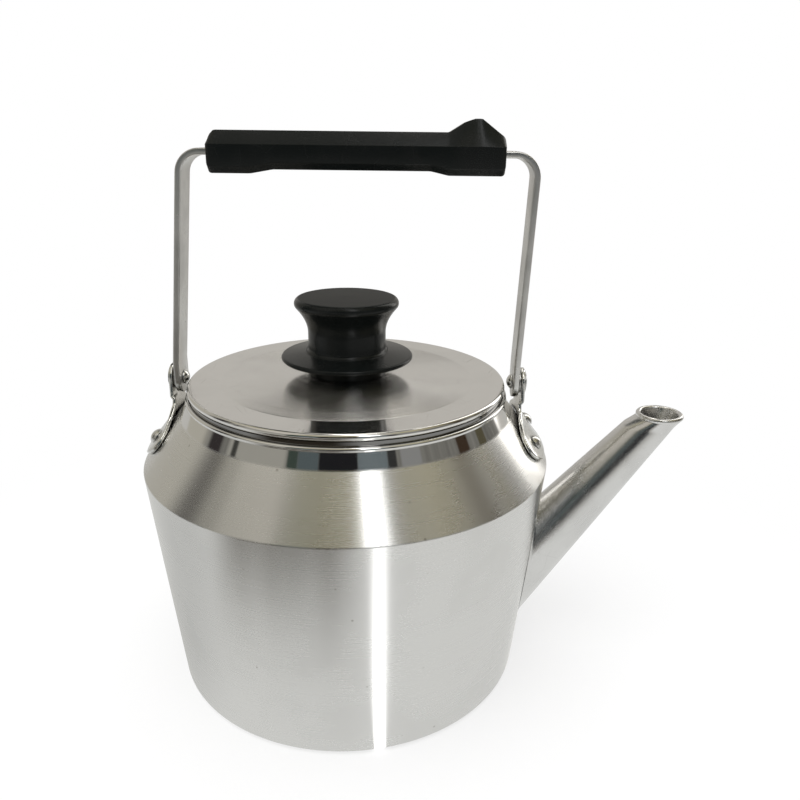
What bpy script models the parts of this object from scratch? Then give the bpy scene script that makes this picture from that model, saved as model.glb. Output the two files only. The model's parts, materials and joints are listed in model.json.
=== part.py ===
"""Aluminium kettle with a lift-off lid, a straight tapered spout and a swinging bail.

Metres, +Z up. The origin is the centre of the flat base, +X points to the spout, and the
bail swings about an axis along X.
"""

import math

import bmesh
import bpy
from mathutils import Matrix, Vector

# Body, one spun sheet from the base to the neck
BASE_CORNER = 0.0024
BODY_HEIGHT = 0.1120
BODY_TAPER = 0.0113
SHOULDER_RUN = 0.0188
SHOULDER_RISE = 0.0238
NECK_RADIUS = 0.0772
NECK_TAPER = 0.0040
NECK_HEIGHT = 0.0067
BODY_WALL = 0.0012
LIP_BEAD = 0.0012
RIDGE_FILLET = 0.0010

# Lid, one pressed sheet with a hemmed rim and a skirt
LID_SHEET = 0.0010
LID_RIM_BEAD = 0.0017
LID_RIM_OVERHANG = 0.0008
LID_GROOVE = 0.0018
LID_FOOT_INSET = 0.0007
LID_SKIRT_DEPTH = 0.0080
LID_SKIRT_PLAY = 0.0006
LID_BAND_WIDTH = 0.0155
LID_CONE_RISE = 0.0024
LID_FLAT_RADIUS = 0.0210

# Knob and what holds it
KNOB_TOP_RADIUS = 0.0251
KNOB_WAIST_RADIUS = 0.0188
KNOB_FLANGE_RADIUS = 0.0320
KNOB_PEDESTAL_RADIUS = 0.0190
KNOB_PEDESTAL_HEIGHT = 0.0072
KNOB_HEIGHT = 0.0377
KNOB_RIM_DEPTH = 0.0032
KNOB_RIM_ROUND = 0.0028
KNOB_FLANGE_EDGE = 0.0011
KNOB_FLANGE_SLOPE = 0.0016
KNOB_WAIST_FOOT = 0.0070
KNOB_WAIST_FLARE = 0.0032
KNOB_WAIST_HEIGHT = 0.0060
INSERT_RADIUS = 0.0042
INSERT_LENGTH = 0.0150
INSERT_GROOVE_DEPTH = 0.0006
INSERT_GROOVE_WIDTH = 0.0020
SCREW_RADIUS = 0.0020
SCREW_HEAD_RADIUS = 0.0042
SCREW_HEAD_HEIGHT = 0.0022
WASHER_RADIUS = 0.0062
WASHER_THICKNESS = 0.0008

# Spout, whose axis lies in the plane of the bail
SPOUT_ROOT_HEIGHT = 0.0532
SPOUT_LENGTH = 0.1009
SPOUT_ANGLE = math.radians(51.8)
SPOUT_TAPER = math.radians(4.5)
SPOUT_WALL = 0.0012
SPOUT_TOP_RADIUS = 0.0094
MOUTH_RADIUS = 0.0102
MOUTH_BEAD = 0.0013
MOUTH_COLLAR = 0.0050
ROOT_FILLET = 0.0016
STRAINER_HOLE_RADIUS = 0.0028
STRAINER_PITCH = 0.0088

# Bail: a flat strap with a moulded grip
STRAP_WIDTH = 0.0150
STRAP_THICKNESS = 0.0030
BAIL_HEIGHT = 0.1066
BAIL_BEND = 0.0100
BAIL_SPREAD = 0.1594
BAIL_OFFSET = 0.0067
STRAP_EYE_LENGTH = 0.0090
STRAP_EYE_STEPS = 6
PIVOT_HEIGHT_OVER_LIP = 0.0040
GRIP_LENGTH = 0.1318
GRIP_OFFSET = 0.0056
GRIP_WIDTH = 0.0220
GRIP_HALF_HEIGHT = 0.0091
GRIP_TOP_FACET = 0.0110
GRIP_SHOULDER = 0.0032
GRIP_CHAMFER = 0.0030
GRIP_END_ROUND = 0.0018
GRIP_HUMP = 0.0057
GRIP_HUMP_LENGTH = 0.0180
GRIP_HUMP_STEP = 0.0014
GRIP_HUMP_RAMP = 0.0041
GRIP_HUMP_FLAT = 0.0032
GRIP_RECESS = 0.0018
GRIP_RECESS_INSET = (0.0190, 0.0250)
GRIP_RECESS_SLOPE = (0.0100, 0.0080)

# Ears, riveted to the shoulder, and the rivets that the bail turns on
EAR_THICKNESS = 0.0018
EAR_LUG_RADIUS = 0.0070
EAR_JOG = 0.0014
EAR_JOG_RISE = 0.0021
EAR_NECK_HALF_WIDTH = 0.0092
EAR_NECK_LENGTH = 0.0050
EAR_FOOT_HALF_WIDTH = 0.0290
EAR_FOOT_TIP_WIDTH = 0.0180
EAR_FOOT_WIDEST = 0.0070
EAR_FOOT_MARGIN = 0.0028
EAR_LEAVES_SHOULDER = 0.0026
EAR_RIVET_SPREAD = 0.0155
EAR_RIVET_INSET = 0.0050
EAR_RIVET_RADIUS = 0.0019
EAR_RIVET_HEAD = 0.0039
EAR_RIVET_DOME = 0.0022
EAR_RIVET_SHOP_HEAD = 0.0032
EAR_RIVET_SHOP_HEIGHT = 0.0014
PIVOT_RADIUS = 0.0025
PIVOT_HEAD_RADIUS = 0.0036
PIVOT_HEAD_HEIGHT = 0.0022
PIVOT_OUTER_HEAD_RADIUS = 0.0056
PIVOT_OUTER_HEAD_HEIGHT = 0.0013
PIVOT_WASHER_RADIUS = 0.0058
PIVOT_WASHER_THICKNESS = 0.0006

# Gap between neighbours that touch on the real kettle, and the play of the bail on its rivets
GAP = 0.0003
PIVOT_PLAY = 0.0001
RIM_TO_RIVET = 0.0014

# Facets round a full turn
TURNED = 64
KNOB_TURNED = 48
SMALL_TURNED = 20
SPOUT_SIDES = 32
HOLE_SIDES = 16

# Half width, as a share, that a rounded strap or lug keeps at its very end
BLUNT_END = 0.12

# How far a pivot's cutter runs past what it cuts
CUT_MARGIN = 0.0020

# Heights and radii that follow from the sizes above
NECK_FOOT_RADIUS = NECK_RADIUS + NECK_TAPER
RIDGE_RADIUS = NECK_FOOT_RADIUS + SHOULDER_RUN
BASE_RADIUS = RIDGE_RADIUS - BODY_TAPER
SHOULDER_TOP = BODY_HEIGHT + SHOULDER_RISE
LIP_CENTRE = (NECK_RADIUS - BODY_WALL / 2 + LIP_BEAD / 2, SHOULDER_TOP + NECK_HEIGHT + LIP_BEAD)
LIP_TOP = LIP_CENTRE[1] + LIP_BEAD
LID_FOOT_RADIUS = LIP_CENTRE[0] - LID_FOOT_INSET
LID_RIM_RADIUS = LID_FOOT_RADIUS + LID_RIM_OVERHANG
LID_SEAT = LIP_CENTRE[1] + math.sqrt(LIP_BEAD**2 - LID_FOOT_INSET**2) + GAP
LID_BEAD_CENTRE = (LID_RIM_RADIUS - LID_RIM_BEAD, LID_SEAT + LID_GROOVE + LID_RIM_BEAD)
LID_RIM_TOP = LID_BEAD_CENTRE[1] + LID_RIM_BEAD
LID_BAND_INNER = LID_RIM_RADIUS - LID_BAND_WIDTH
LID_TOP = LID_RIM_TOP + LID_CONE_RISE
PIVOT_Z = LIP_TOP + PIVOT_HEIGHT_OVER_LIP
STRAP_INNER_X = LID_RIM_RADIUS + RIM_TO_RIVET + PIVOT_HEAD_HEIGHT + GAP
STRAP_X = STRAP_INNER_X + STRAP_THICKNESS / 2
WASHER_INNER_X = STRAP_INNER_X + STRAP_THICKNESS + GAP
LUG_INNER_X = WASHER_INNER_X + PIVOT_WASHER_THICKNESS + GAP
LUG_X = LUG_INNER_X + EAR_THICKNESS / 2
LUG_OUTER_X = LUG_INNER_X + EAR_THICKNESS
WALL_SLOPE = BODY_TAPER / BODY_HEIGHT
SHOULDER_SLOPE = SHOULDER_RISE / SHOULDER_RUN
SHOULDER_LENGTH = math.hypot(SHOULDER_RUN, SHOULDER_RISE)
SHOULDER_UP = Vector((-SHOULDER_RUN, 0, SHOULDER_RISE)) / SHOULDER_LENGTH
SHOULDER_NORMAL = Vector((SHOULDER_RISE, 0, SHOULDER_RUN)) / SHOULDER_LENGTH
EAR_TIP_RADIUS = RIDGE_RADIUS - EAR_FOOT_MARGIN


def clear_scene():
    for obj in list(bpy.data.objects):
        bpy.data.objects.remove(obj, do_unlink=True)


def make_material(name, colour, roughness, metallic):
    material = bpy.data.materials.new(name)
    material.use_nodes = True
    shader = material.node_tree.nodes["Principled BSDF"]
    shader.inputs["Base Color"].default_value = (*colour, 1.0)
    shader.inputs["Roughness"].default_value = roughness
    shader.inputs["Metallic"].default_value = metallic
    return material


def add_object(name, bm, material, origin=(0, 0, 0), parent=None, smooth=math.radians(30)):
    """Turns a bmesh in world coordinates into an object whose origin is at the given point."""
    bmesh.ops.recalc_face_normals(bm, faces=bm.faces)
    bm.transform(Matrix.Translation(-Vector(origin)))
    mesh = bpy.data.meshes.new(name)
    bm.to_mesh(mesh)
    bm.free()
    mesh.shade_smooth()
    mesh.set_sharp_from_angle(angle=smooth)
    obj = bpy.data.objects.new(name, mesh)
    bpy.context.scene.collection.objects.link(obj)
    if material is not None:
        mesh.materials.append(material)
    obj.location = Vector(origin)
    if parent is not None:
        obj.parent = parent
        obj.location = Vector(origin) - parent.location
    return obj


def add_empty(name, location):
    empty = bpy.data.objects.new(name, None)
    bpy.context.scene.collection.objects.link(empty)
    empty.location = location
    return empty


def add_cutter(name, bm):
    cutter = add_object(name, bm, None)
    cutter.hide_render = True
    cutter.display_type = "WIRE"
    return cutter


def subtract(obj, cutter):
    modifier = obj.modifiers.new("cut_" + cutter.name, "BOOLEAN")
    modifier.operation = "DIFFERENCE"
    modifier.solver = "EXACT"
    modifier.object = cutter


def arc(centre, radius, start, end, steps):
    """Points (r, z) on an arc, angles in degrees from +r towards +z, both ends included."""
    points = []
    for i in range(steps + 1):
        angle = math.radians(start + (end - start) * i / steps)
        points.append((centre[0] + radius * math.cos(angle), centre[1] + radius * math.sin(angle)))
    return points


def rounded(before, corner, after, radius, steps=3):
    """Points (r, z) that round a corner of a profile."""
    corner = Vector(corner)
    to_before = (Vector(before) - corner).normalized()
    to_after = (Vector(after) - corner).normalized()
    half = to_before.angle(to_after) / 2
    centre = corner + (to_before + to_after).normalized() * radius / math.sin(half)
    first = corner + to_before * radius / math.tan(half)
    last = corner + to_after * radius / math.tan(half)
    start = math.degrees(math.atan2(first.y - centre.y, first.x - centre.x))
    sweep = math.degrees(math.atan2(last.y - centre.y, last.x - centre.x)) - start
    sweep = (sweep + 180) % 360 - 180
    return arc(centre, radius, start, start + sweep, steps)


def turned(profile, segments, closed=True):
    """Revolves (r, z) points about Z. A closed profile is a ring; an open one ends on the axis."""
    bm = bmesh.new()
    rings = []
    for r, z in profile:
        if r == 0:
            rings.append([bm.verts.new((0, 0, z))])
            continue
        ring = []
        for i in range(segments):
            angle = 2 * math.pi * i / segments
            ring.append(bm.verts.new((r * math.cos(angle), r * math.sin(angle), z)))
        rings.append(ring)
    pairs = list(zip(rings, rings[1:]))
    if closed:
        pairs.append((rings[-1], rings[0]))
    for lower, upper in pairs:
        for i in range(segments):
            j = (i + 1) % segments
            corners = [ring[k % len(ring)] for ring, k in ((lower, i), (lower, j), (upper, j), (upper, i))]
            corners = [v for k, v in enumerate(corners) if v not in corners[:k]]
            bm.faces.new(corners)
    return bm


def rod(radius, start, end, segments=SMALL_TURNED):
    """A cylinder between two points."""
    start, end = Vector(start), Vector(end)
    length = (end - start).length
    bm = turned([(0, 0), (radius, 0), (radius, length), (0, length)], segments, closed=False)
    turn = (end - start).to_track_quat("Z", "Y").to_matrix().to_4x4()
    bm.transform(Matrix.Translation(start) @ turn)
    return bm


def loft(rings):
    """Joins rings of equally many points with quads, and closes both ends."""
    bm = bmesh.new()
    rows = [[bm.verts.new(p) for p in ring] for ring in rings]
    for lower, upper in zip(rows, rows[1:]):
        for i in range(len(lower)):
            j = (i + 1) % len(lower)
            bm.faces.new([lower[i], lower[j], upper[j], upper[i]])
    bm.faces.new(rows[0])
    bm.faces.new(rows[-1])
    return bm


def outer_wall_radius(z):
    return BASE_RADIUS + WALL_SLOPE * z


def shoulder_height(radius):
    return BODY_HEIGHT + (RIDGE_RADIUS - radius) * SHOULDER_SLOPE


def make_body(material):
    outer_corner = (BASE_RADIUS, 0)
    ridge = (RIDGE_RADIUS, BODY_HEIGHT)
    neck_foot = (NECK_FOOT_RADIUS, SHOULDER_TOP)
    lip_joint = (NECK_RADIUS, LIP_CENTRE[1] - LIP_BEAD)
    # The inner faces, each one wall thickness inside the outer one
    wall_inset = math.hypot(1, WALL_SLOPE) * BODY_WALL
    shoulder_drop = math.hypot(1, SHOULDER_SLOPE) * BODY_WALL
    inner_neck = NECK_RADIUS - BODY_WALL
    inner_foot_radius = NECK_FOOT_RADIUS - BODY_WALL
    inner_foot = (inner_foot_radius, shoulder_height(inner_foot_radius) - shoulder_drop)
    inner_corner = (outer_wall_radius(BODY_WALL) - wall_inset, BODY_WALL)
    inset = (wall_inset + WALL_SLOPE * shoulder_drop) / (1 + WALL_SLOPE * SHOULDER_SLOPE)
    inner_ridge = (RIDGE_RADIUS - inset, BODY_HEIGHT + SHOULDER_SLOPE * inset - shoulder_drop)

    profile = [(0, 0)]
    profile += rounded((0, 0), outer_corner, ridge, BASE_CORNER, 4)
    profile += rounded(outer_corner, ridge, neck_foot, RIDGE_FILLET, 3)
    profile += rounded(ridge, neck_foot, lip_joint, RIDGE_FILLET, 2)
    profile += arc(LIP_CENTRE, LIP_BEAD, -60, 150, 7)
    profile.append((inner_neck, LIP_CENTRE[1]))
    profile.append(inner_foot)
    profile.append(inner_ridge)
    profile += rounded(inner_ridge, inner_corner, (0, BODY_WALL), BASE_CORNER - BODY_WALL, 3)
    profile.append((0, BODY_WALL))
    body = add_object("body", turned(profile, TURNED, closed=False), material)
    for cutter in strainer_cutters() + ear_rivet_hole_cutters("body"):
        subtract(body, cutter)
    return body


def mouth_centre():
    root = Vector((outer_wall_radius(SPOUT_ROOT_HEIGHT), 0, SPOUT_ROOT_HEIGHT))
    return root + Vector((math.cos(SPOUT_ANGLE), 0, math.sin(SPOUT_ANGLE))) * SPOUT_LENGTH


def spout_line(angle_round, top_radius):
    """A straight line on the spout's cone: its point beside the mouth's centre, and its direction down."""
    axis = Vector((math.cos(SPOUT_ANGLE), 0, math.sin(SPOUT_ANGLE)))
    across = Vector((-math.sin(SPOUT_ANGLE), 0, math.cos(SPOUT_ANGLE)))
    outward = across * math.cos(angle_round) + Vector((0, 1, 0)) * math.sin(angle_round)
    down = (-axis * math.cos(SPOUT_TAPER) + outward * math.sin(SPOUT_TAPER)).normalized()
    return mouth_centre() + outward * top_radius, down


def meet_level(point, down, z):
    return point + down * ((z - point.z) / down.z)


def meet_wall(point, down, gap):
    """Where a line down the spout first comes within a gap of the body's outer wall."""
    base = BASE_RADIUS + gap * math.hypot(1, WALL_SLOPE)
    radius = base + WALL_SLOPE * point.z
    a = down.x**2 + down.y**2 - (WALL_SLOPE * down.z) ** 2
    b = 2 * (point.x * down.x + point.y * down.y - radius * WALL_SLOPE * down.z)
    c = point.x**2 + point.y**2 - radius**2
    root = math.sqrt(b * b - 4 * a * c)
    distance = min(d for d in ((-b - root) / (2 * a), (-b + root) / (2 * a)) if d > 0)
    return point + down * distance


def spout_profile(angle_round):
    """The points of one lengthwise section of the spout's wall, from the root up and back down."""
    centre = mouth_centre()
    collar_z = centre.z - MOUTH_COLLAR
    outer, down = spout_line(angle_round, SPOUT_TOP_RADIUS)
    inner = spout_line(angle_round, SPOUT_TOP_RADIUS - SPOUT_WALL)[0]
    flare = spout_line(angle_round, SPOUT_TOP_RADIUS + ROOT_FILLET)[0]
    collar = meet_level(outer, down, collar_z)
    inner_collar = meet_level(inner, down, collar_z)
    over_fillet = meet_wall(outer, down, GAP + ROOT_FILLET)
    inner_root = meet_wall(inner, down, GAP)
    points = [meet_wall(flare, down, GAP), over_fillet]
    points += [over_fillet.lerp(collar, 1 / 3), over_fillet.lerp(collar, 2 / 3), collar]
    # The rolled rim of the round, level mouth
    outward = Vector((-math.cos(angle_round), math.sin(angle_round), 0))
    for degrees in range(-45, 181, 45):
        turn = math.radians(degrees)
        reach = MOUTH_RADIUS + MOUTH_BEAD * math.cos(turn)
        points.append(centre + outward * reach + Vector((0, 0, MOUTH_BEAD * math.sin(turn))))
    points += [inner_collar, inner_collar.lerp(inner_root, 1 / 2), inner_root]
    return points


def make_spout(material):
    bm = bmesh.new()
    rows = []
    for k in range(SPOUT_SIDES):
        rows.append([bm.verts.new(p) for p in spout_profile(2 * math.pi * k / SPOUT_SIDES)])
    count = len(rows[0])
    for k in range(SPOUT_SIDES):
        here, there = rows[k], rows[(k + 1) % SPOUT_SIDES]
        for i in range(count):
            j = (i + 1) % count
            bm.faces.new([here[i], here[j], there[j], there[i]])
    return add_object("spout", bm, material, origin=mouth_centre())


def strainer_cutters():
    """Rods through the wall behind the spout, in staggered rows inside the root of its bore."""
    bore = SPOUT_TOP_RADIUS - SPOUT_WALL
    upper = meet_wall(*spout_line(0, bore), GAP)
    lower = meet_wall(*spout_line(math.pi, bore), GAP)
    middle = (upper.z + lower.z) / 2
    rows = int((upper.z - lower.z) / 2 / STRAINER_PITCH) - 1
    cutters = []
    for row in range(-rows, rows + 1):
        z = middle + row * STRAINER_PITCH * math.sin(math.pi / 3)
        in_row = 3 if row % 2 == 0 else 2
        for k in range(in_row):
            y = (k - (in_row - 1) / 2) * STRAINER_PITCH
            x = math.sqrt(outer_wall_radius(z) ** 2 - y**2)
            hole = rod(STRAINER_HOLE_RADIUS, (x - 4 * BODY_WALL, y, z), (x + 2 * BODY_WALL, y, z), HOLE_SIDES)
            cutters.append(add_cutter("strainer_cut", hole))
    return cutters


def make_lid(material, lift):
    sheet = LID_SHEET
    skirt_outer = NECK_RADIUS - BODY_WALL - LID_SKIRT_PLAY
    bore = SCREW_RADIUS + GAP
    band = LID_RIM_TOP
    cone_foot = (LID_BAND_INNER, band)
    skirt_bottom = LID_SEAT - LID_SKIRT_DEPTH
    profile = [(bore, LID_TOP), (LID_FLAT_RADIUS, LID_TOP)]
    profile.append(cone_foot)
    profile += arc(LID_BEAD_CENTRE, LID_RIM_BEAD, 90, -80, 6)
    profile.append((LID_FOOT_RADIUS, LID_SEAT + LID_GROOVE))
    profile.append((LID_FOOT_RADIUS, LID_SEAT))
    profile.append((skirt_outer, LID_SEAT))
    profile.append((skirt_outer, skirt_bottom))
    profile.append((skirt_outer - sheet, skirt_bottom))
    profile.append((skirt_outer - sheet, band - sheet))
    profile.append((LID_BAND_INNER, band - sheet))
    profile.append((LID_FLAT_RADIUS, LID_TOP - sheet))
    profile.append((bore, LID_TOP - sheet))
    return add_object("lid", turned(profile, TURNED), material, (0, 0, LID_SEAT), lift)


def make_knob(material, lift):
    foot = LID_TOP + GAP
    bore = INSERT_RADIUS + GAP
    bore_top = foot + INSERT_LENGTH + 2 * GAP
    flange_under = foot + KNOB_PEDESTAL_HEIGHT
    flange_top = flange_under + 2 * KNOB_FLANGE_EDGE
    waist_foot = flange_under + KNOB_WAIST_FOOT
    waist_top = waist_foot + KNOB_WAIST_HEIGHT
    top = foot + KNOB_HEIGHT
    widest = top - KNOB_RIM_DEPTH
    flare_top = widest - KNOB_RIM_ROUND
    profile = [(0, bore_top), (bore, bore_top), (bore, foot)]
    profile += [(KNOB_PEDESTAL_RADIUS, foot), (KNOB_PEDESTAL_RADIUS, flange_under)]
    edge = (KNOB_FLANGE_RADIUS - KNOB_FLANGE_EDGE, flange_under + KNOB_FLANGE_EDGE)
    profile += arc(edge, KNOB_FLANGE_EDGE, -80, 80, 3)
    profile.append((KNOB_WAIST_RADIUS + KNOB_WAIST_FLARE, flange_top + KNOB_FLANGE_SLOPE))
    profile.append((KNOB_WAIST_RADIUS, waist_foot))
    steps = 5
    for i in range(steps + 1):
        t = i / steps
        radius = KNOB_WAIST_RADIUS + (KNOB_TOP_RADIUS - KNOB_WAIST_RADIUS) * t**2.2
        profile.append((radius, waist_top + (flare_top - waist_top) * t))
    rim = (KNOB_TOP_RADIUS - KNOB_RIM_ROUND, widest)
    profile += arc(rim, KNOB_RIM_ROUND, 0, 80, 4)
    profile.append((0, top))
    return add_object("knob", turned(profile, KNOB_TURNED, closed=False), material, (0, 0, LID_SEAT), lift)


def make_knob_fixings(brass, steel, lift):
    """The threaded insert moulded into the knob, and the screw and washer below the lid."""
    insert_foot = LID_TOP + 2 * GAP
    bore = SCREW_RADIUS + GAP
    insert_top = insert_foot + INSERT_LENGTH - GAP
    groove = INSERT_RADIUS - INSERT_GROOVE_DEPTH
    groove_foot = (insert_foot + insert_top - INSERT_GROOVE_WIDTH) / 2
    groove_top = groove_foot + INSERT_GROOVE_WIDTH
    profile = [(bore, insert_foot), (INSERT_RADIUS, insert_foot), (INSERT_RADIUS, groove_foot)]
    profile += [(groove, groove_foot), (groove, groove_top), (INSERT_RADIUS, groove_top)]
    profile += [(INSERT_RADIUS, insert_top), (bore, insert_top)]
    add_object("knob_insert", turned(profile, SMALL_TURNED), brass, (0, 0, LID_SEAT), lift)

    washer_top = LID_TOP - LID_SHEET - GAP
    washer_foot = washer_top - WASHER_THICKNESS
    profile = [(bore, washer_foot), (WASHER_RADIUS, washer_foot)]
    profile += [(WASHER_RADIUS, washer_top), (bore, washer_top)]
    add_object("knob_washer", turned(profile, SMALL_TURNED), steel, (0, 0, LID_SEAT), lift)

    head_top = washer_foot - GAP
    profile = [(r, -z) for r, z in dome(SCREW_HEAD_RADIUS, SCREW_HEAD_HEIGHT, -head_top)][::-1]
    profile += [(SCREW_RADIUS, head_top), (SCREW_RADIUS, insert_top - GAP), (0, insert_top - GAP)]
    screw = turned(profile, SMALL_TURNED, closed=False)
    add_object("knob_screw", screw, steel, (0, 0, LID_SEAT), lift)


def ear_path():
    """Points (x, z) of the ear's middle surface at its centreline, from the foot to the lug's base.

    Each comes with how far its row follows the shoulder's curve, from 1 on the shoulder to 0.
    """
    stand_off = SHOULDER_NORMAL * (GAP + EAR_THICKNESS / 2)
    neck_x = LUG_X - EAR_JOG
    lift_off_radius = neck_x + EAR_LEAVES_SHOULDER
    foot = Vector((EAR_TIP_RADIUS, 0, shoulder_height(EAR_TIP_RADIUS))) + stand_off
    bend = Vector((lift_off_radius, 0, shoulder_height(lift_off_radius))) + stand_off
    lug_foot = Vector((LUG_X, 0, PIVOT_Z - EAR_LUG_RADIUS - EAR_THICKNESS / 2))
    neck = Vector((neck_x, 0, lug_foot.z - EAR_JOG_RISE))
    rise = (neck - bend).length
    path = [(foot.lerp(bend, i / 6), 1.0) for i in range(6)]
    controls = [bend, bend + SHOULDER_UP * rise / 2, neck - Vector((0, 0, rise / 2)), neck]
    for i in range(4):
        t = i / 4
        point = (1 - t) ** 3 * controls[0] + 3 * t * (1 - t) ** 2 * controls[1]
        point += 3 * t**2 * (1 - t) * controls[2] + t**3 * controls[3]
        path.append((point, 1 - t))
    path += [(neck, 0.0), (neck.lerp(lug_foot, 1 / 2), 0.0), (lug_foot, 0.0)]
    return path


def ear_half_width(z):
    """Half width of the ear at a height: a leaf that is widest low on the shoulder and narrows to the lug."""
    tip_z = shoulder_height(EAR_TIP_RADIUS)
    widest_z = tip_z + EAR_FOOT_WIDEST
    neck_z = PIVOT_Z - EAR_LUG_RADIUS - EAR_NECK_LENGTH
    if z < widest_z:
        drop = min(1.0, (widest_z - z) / (widest_z - tip_z))
        return EAR_FOOT_HALF_WIDTH - (EAR_FOOT_HALF_WIDTH - EAR_FOOT_TIP_WIDTH) * drop**2.5
    if z < neck_z:
        rise = (z - widest_z) / (neck_z - widest_z)
        return EAR_FOOT_HALF_WIDTH + (EAR_NECK_HALF_WIDTH - EAR_FOOT_HALF_WIDTH) * rise**1.8
    rise = min(1.0, (z - neck_z) / EAR_NECK_LENGTH)
    return EAR_NECK_HALF_WIDTH + (EAR_LUG_RADIUS - EAR_NECK_HALF_WIDTH) * rise


def make_ear(name, side, material):
    """A pressed plate: its foot follows the shoulder's curve, and above a jog its lug stands upright."""
    columns = 8
    rows = []
    for point, curve in ear_path():
        half = ear_half_width(point.z)
        row = []
        for k in range(columns + 1):
            y = half * (2 * k / columns - 1)
            sag = point.x - math.sqrt(point.x**2 - y**2)
            row.append(Vector((point.x - curve * sag, y, point.z)))
        rows.append(row)
    lug_steps = 6
    for i in range(lug_steps + 1):
        angle = math.pi / 2 * i / lug_steps
        z = PIVOT_Z + EAR_LUG_RADIUS * math.sin(angle)
        half = EAR_LUG_RADIUS * max(math.cos(angle), BLUNT_END)
        rows.append([Vector((LUG_X, half * (2 * k / columns - 1), z)) for k in range(columns + 1)])
    bm = bmesh.new()
    grid = [[bm.verts.new((side * p.x, p.y, p.z)) for p in row] for row in rows]
    for lower, upper in zip(grid, grid[1:]):
        for k in range(columns):
            bm.faces.new([lower[k], lower[k + 1], upper[k + 1], upper[k]])
    thicken(bm, EAR_THICKNESS)
    ear = add_object(name, bm, material, (side * LUG_X, 0, PIVOT_Z))
    for cutter in ear_rivet_hole_cutters(name, side) + [pivot_hole_cutter(name, side, GAP)]:
        subtract(ear, cutter)
    return ear


def thicken(bm, thickness):
    """Gives an open sheet a thickness, half to each side, and closes its rim."""
    bmesh.ops.recalc_face_normals(bm, faces=bm.faces)
    bm.normal_update()
    offsets = {v: v.normal * thickness / 2 for v in bm.verts}
    faces = list(bm.faces)
    rim = [e for e in bm.edges if e.is_boundary]
    back = {v: bm.verts.new(v.co - offset) for v, offset in offsets.items()}
    for v, offset in offsets.items():
        v.co = v.co + offset
    for face in faces:
        bm.faces.new([back[v] for v in reversed(face.verts)])
    for edge in rim:
        a, b = edge.verts
        bm.faces.new([a, b, back[b], back[a]])


def ear_rivet_places(side):
    """The point on the shoulder and the outward direction of each of an ear's two rivets."""
    radius = EAR_TIP_RADIUS - EAR_RIVET_INSET
    places = []
    for k in (-1, 1):
        angle = k * math.asin(EAR_RIVET_SPREAD / radius)
        turn = Matrix.Rotation(angle if side > 0 else math.pi + angle, 3, "Z")
        point = turn @ Vector((radius, 0, shoulder_height(radius)))
        places.append((point, turn @ SHOULDER_NORMAL))
    return places


def ear_rivet_hole_cutters(owner, side=None):
    cutters = []
    for each in (side,) if side else (-1, 1):
        for point, normal in ear_rivet_places(each):
            reach = normal * (BODY_WALL + EAR_THICKNESS) * 2
            hole = rod(EAR_RIVET_RADIUS + GAP, point - reach, point + reach, HOLE_SIDES)
            cutters.append(add_cutter(owner + "_rivet_cut", hole))
    return cutters


def pivot_hole_cutter(owner, side, play):
    start = (side * (STRAP_INNER_X - CUT_MARGIN), 0, PIVOT_Z)
    end = (side * (LUG_OUTER_X + CUT_MARGIN), 0, PIVOT_Z)
    return add_cutter(owner + "_pivot_cut", rod(PIVOT_RADIUS + play, start, end))


def dome(radius, height, base, steps=3):
    """Points (r, z) of a domed head, from its rim to its crown on the axis."""
    curve = (radius**2 + height**2) / (2 * height)
    half = math.asin(min(1.0, radius / curve))
    points = []
    for i in range(steps):
        angle = half * (1 - i / steps)
        points.append((curve * math.sin(angle), base + height - curve * (1 - math.cos(angle))))
    points.append((0, base + height))
    return points


def make_ear_rivets(side, label, material):
    over_plate = GAP + EAR_THICKNESS + GAP
    inside = -BODY_WALL - GAP
    profile = [(0, inside - EAR_RIVET_SHOP_HEIGHT), (EAR_RIVET_SHOP_HEAD, inside - EAR_RIVET_SHOP_HEIGHT)]
    profile += [(EAR_RIVET_SHOP_HEAD, inside), (EAR_RIVET_RADIUS, inside), (EAR_RIVET_RADIUS, over_plate)]
    profile += dome(EAR_RIVET_HEAD, EAR_RIVET_DOME, over_plate)
    for (point, normal), end in zip(ear_rivet_places(side), ("left", "right")):
        bm = turned(profile, SMALL_TURNED, closed=False)
        rivet = add_object(f"ear_rivet_{label}_{end}", bm, material)
        rivet.location = point
        rivet.rotation_euler = normal.to_track_quat("Z", "Y").to_euler()


def make_pivot(side, label, rivet_material, washer_material):
    """The rivet that the bail turns on, and the washer between strap and lug."""
    inner = STRAP_INNER_X - GAP
    outer = LUG_OUTER_X + GAP
    profile = [(r, -z) for r, z in dome(PIVOT_HEAD_RADIUS, PIVOT_HEAD_HEIGHT, -inner)][::-1]
    profile += [(PIVOT_RADIUS, inner), (PIVOT_RADIUS, outer)]
    profile += dome(PIVOT_OUTER_HEAD_RADIUS, PIVOT_OUTER_HEAD_HEIGHT, outer)
    turn = Matrix.Rotation(math.radians(90 * side), 4, "Y")
    place = Matrix.Translation((0, 0, PIVOT_Z)) @ turn
    rivet = turned(profile, SMALL_TURNED, closed=False)
    rivet.transform(place)
    add_object("pivot_rivet_" + label, rivet, rivet_material, (side * STRAP_X, 0, PIVOT_Z))

    start, end = WASHER_INNER_X, WASHER_INNER_X + PIVOT_WASHER_THICKNESS
    bore = PIVOT_RADIUS + GAP
    ring = [(bore, start), (PIVOT_WASHER_RADIUS, start), (PIVOT_WASHER_RADIUS, end), (bore, end)]
    washer = turned(ring, SMALL_TURNED)
    washer.transform(place)
    add_object("pivot_washer_" + label, washer, washer_material, (side * STRAP_X, 0, PIVOT_Z))


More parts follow.
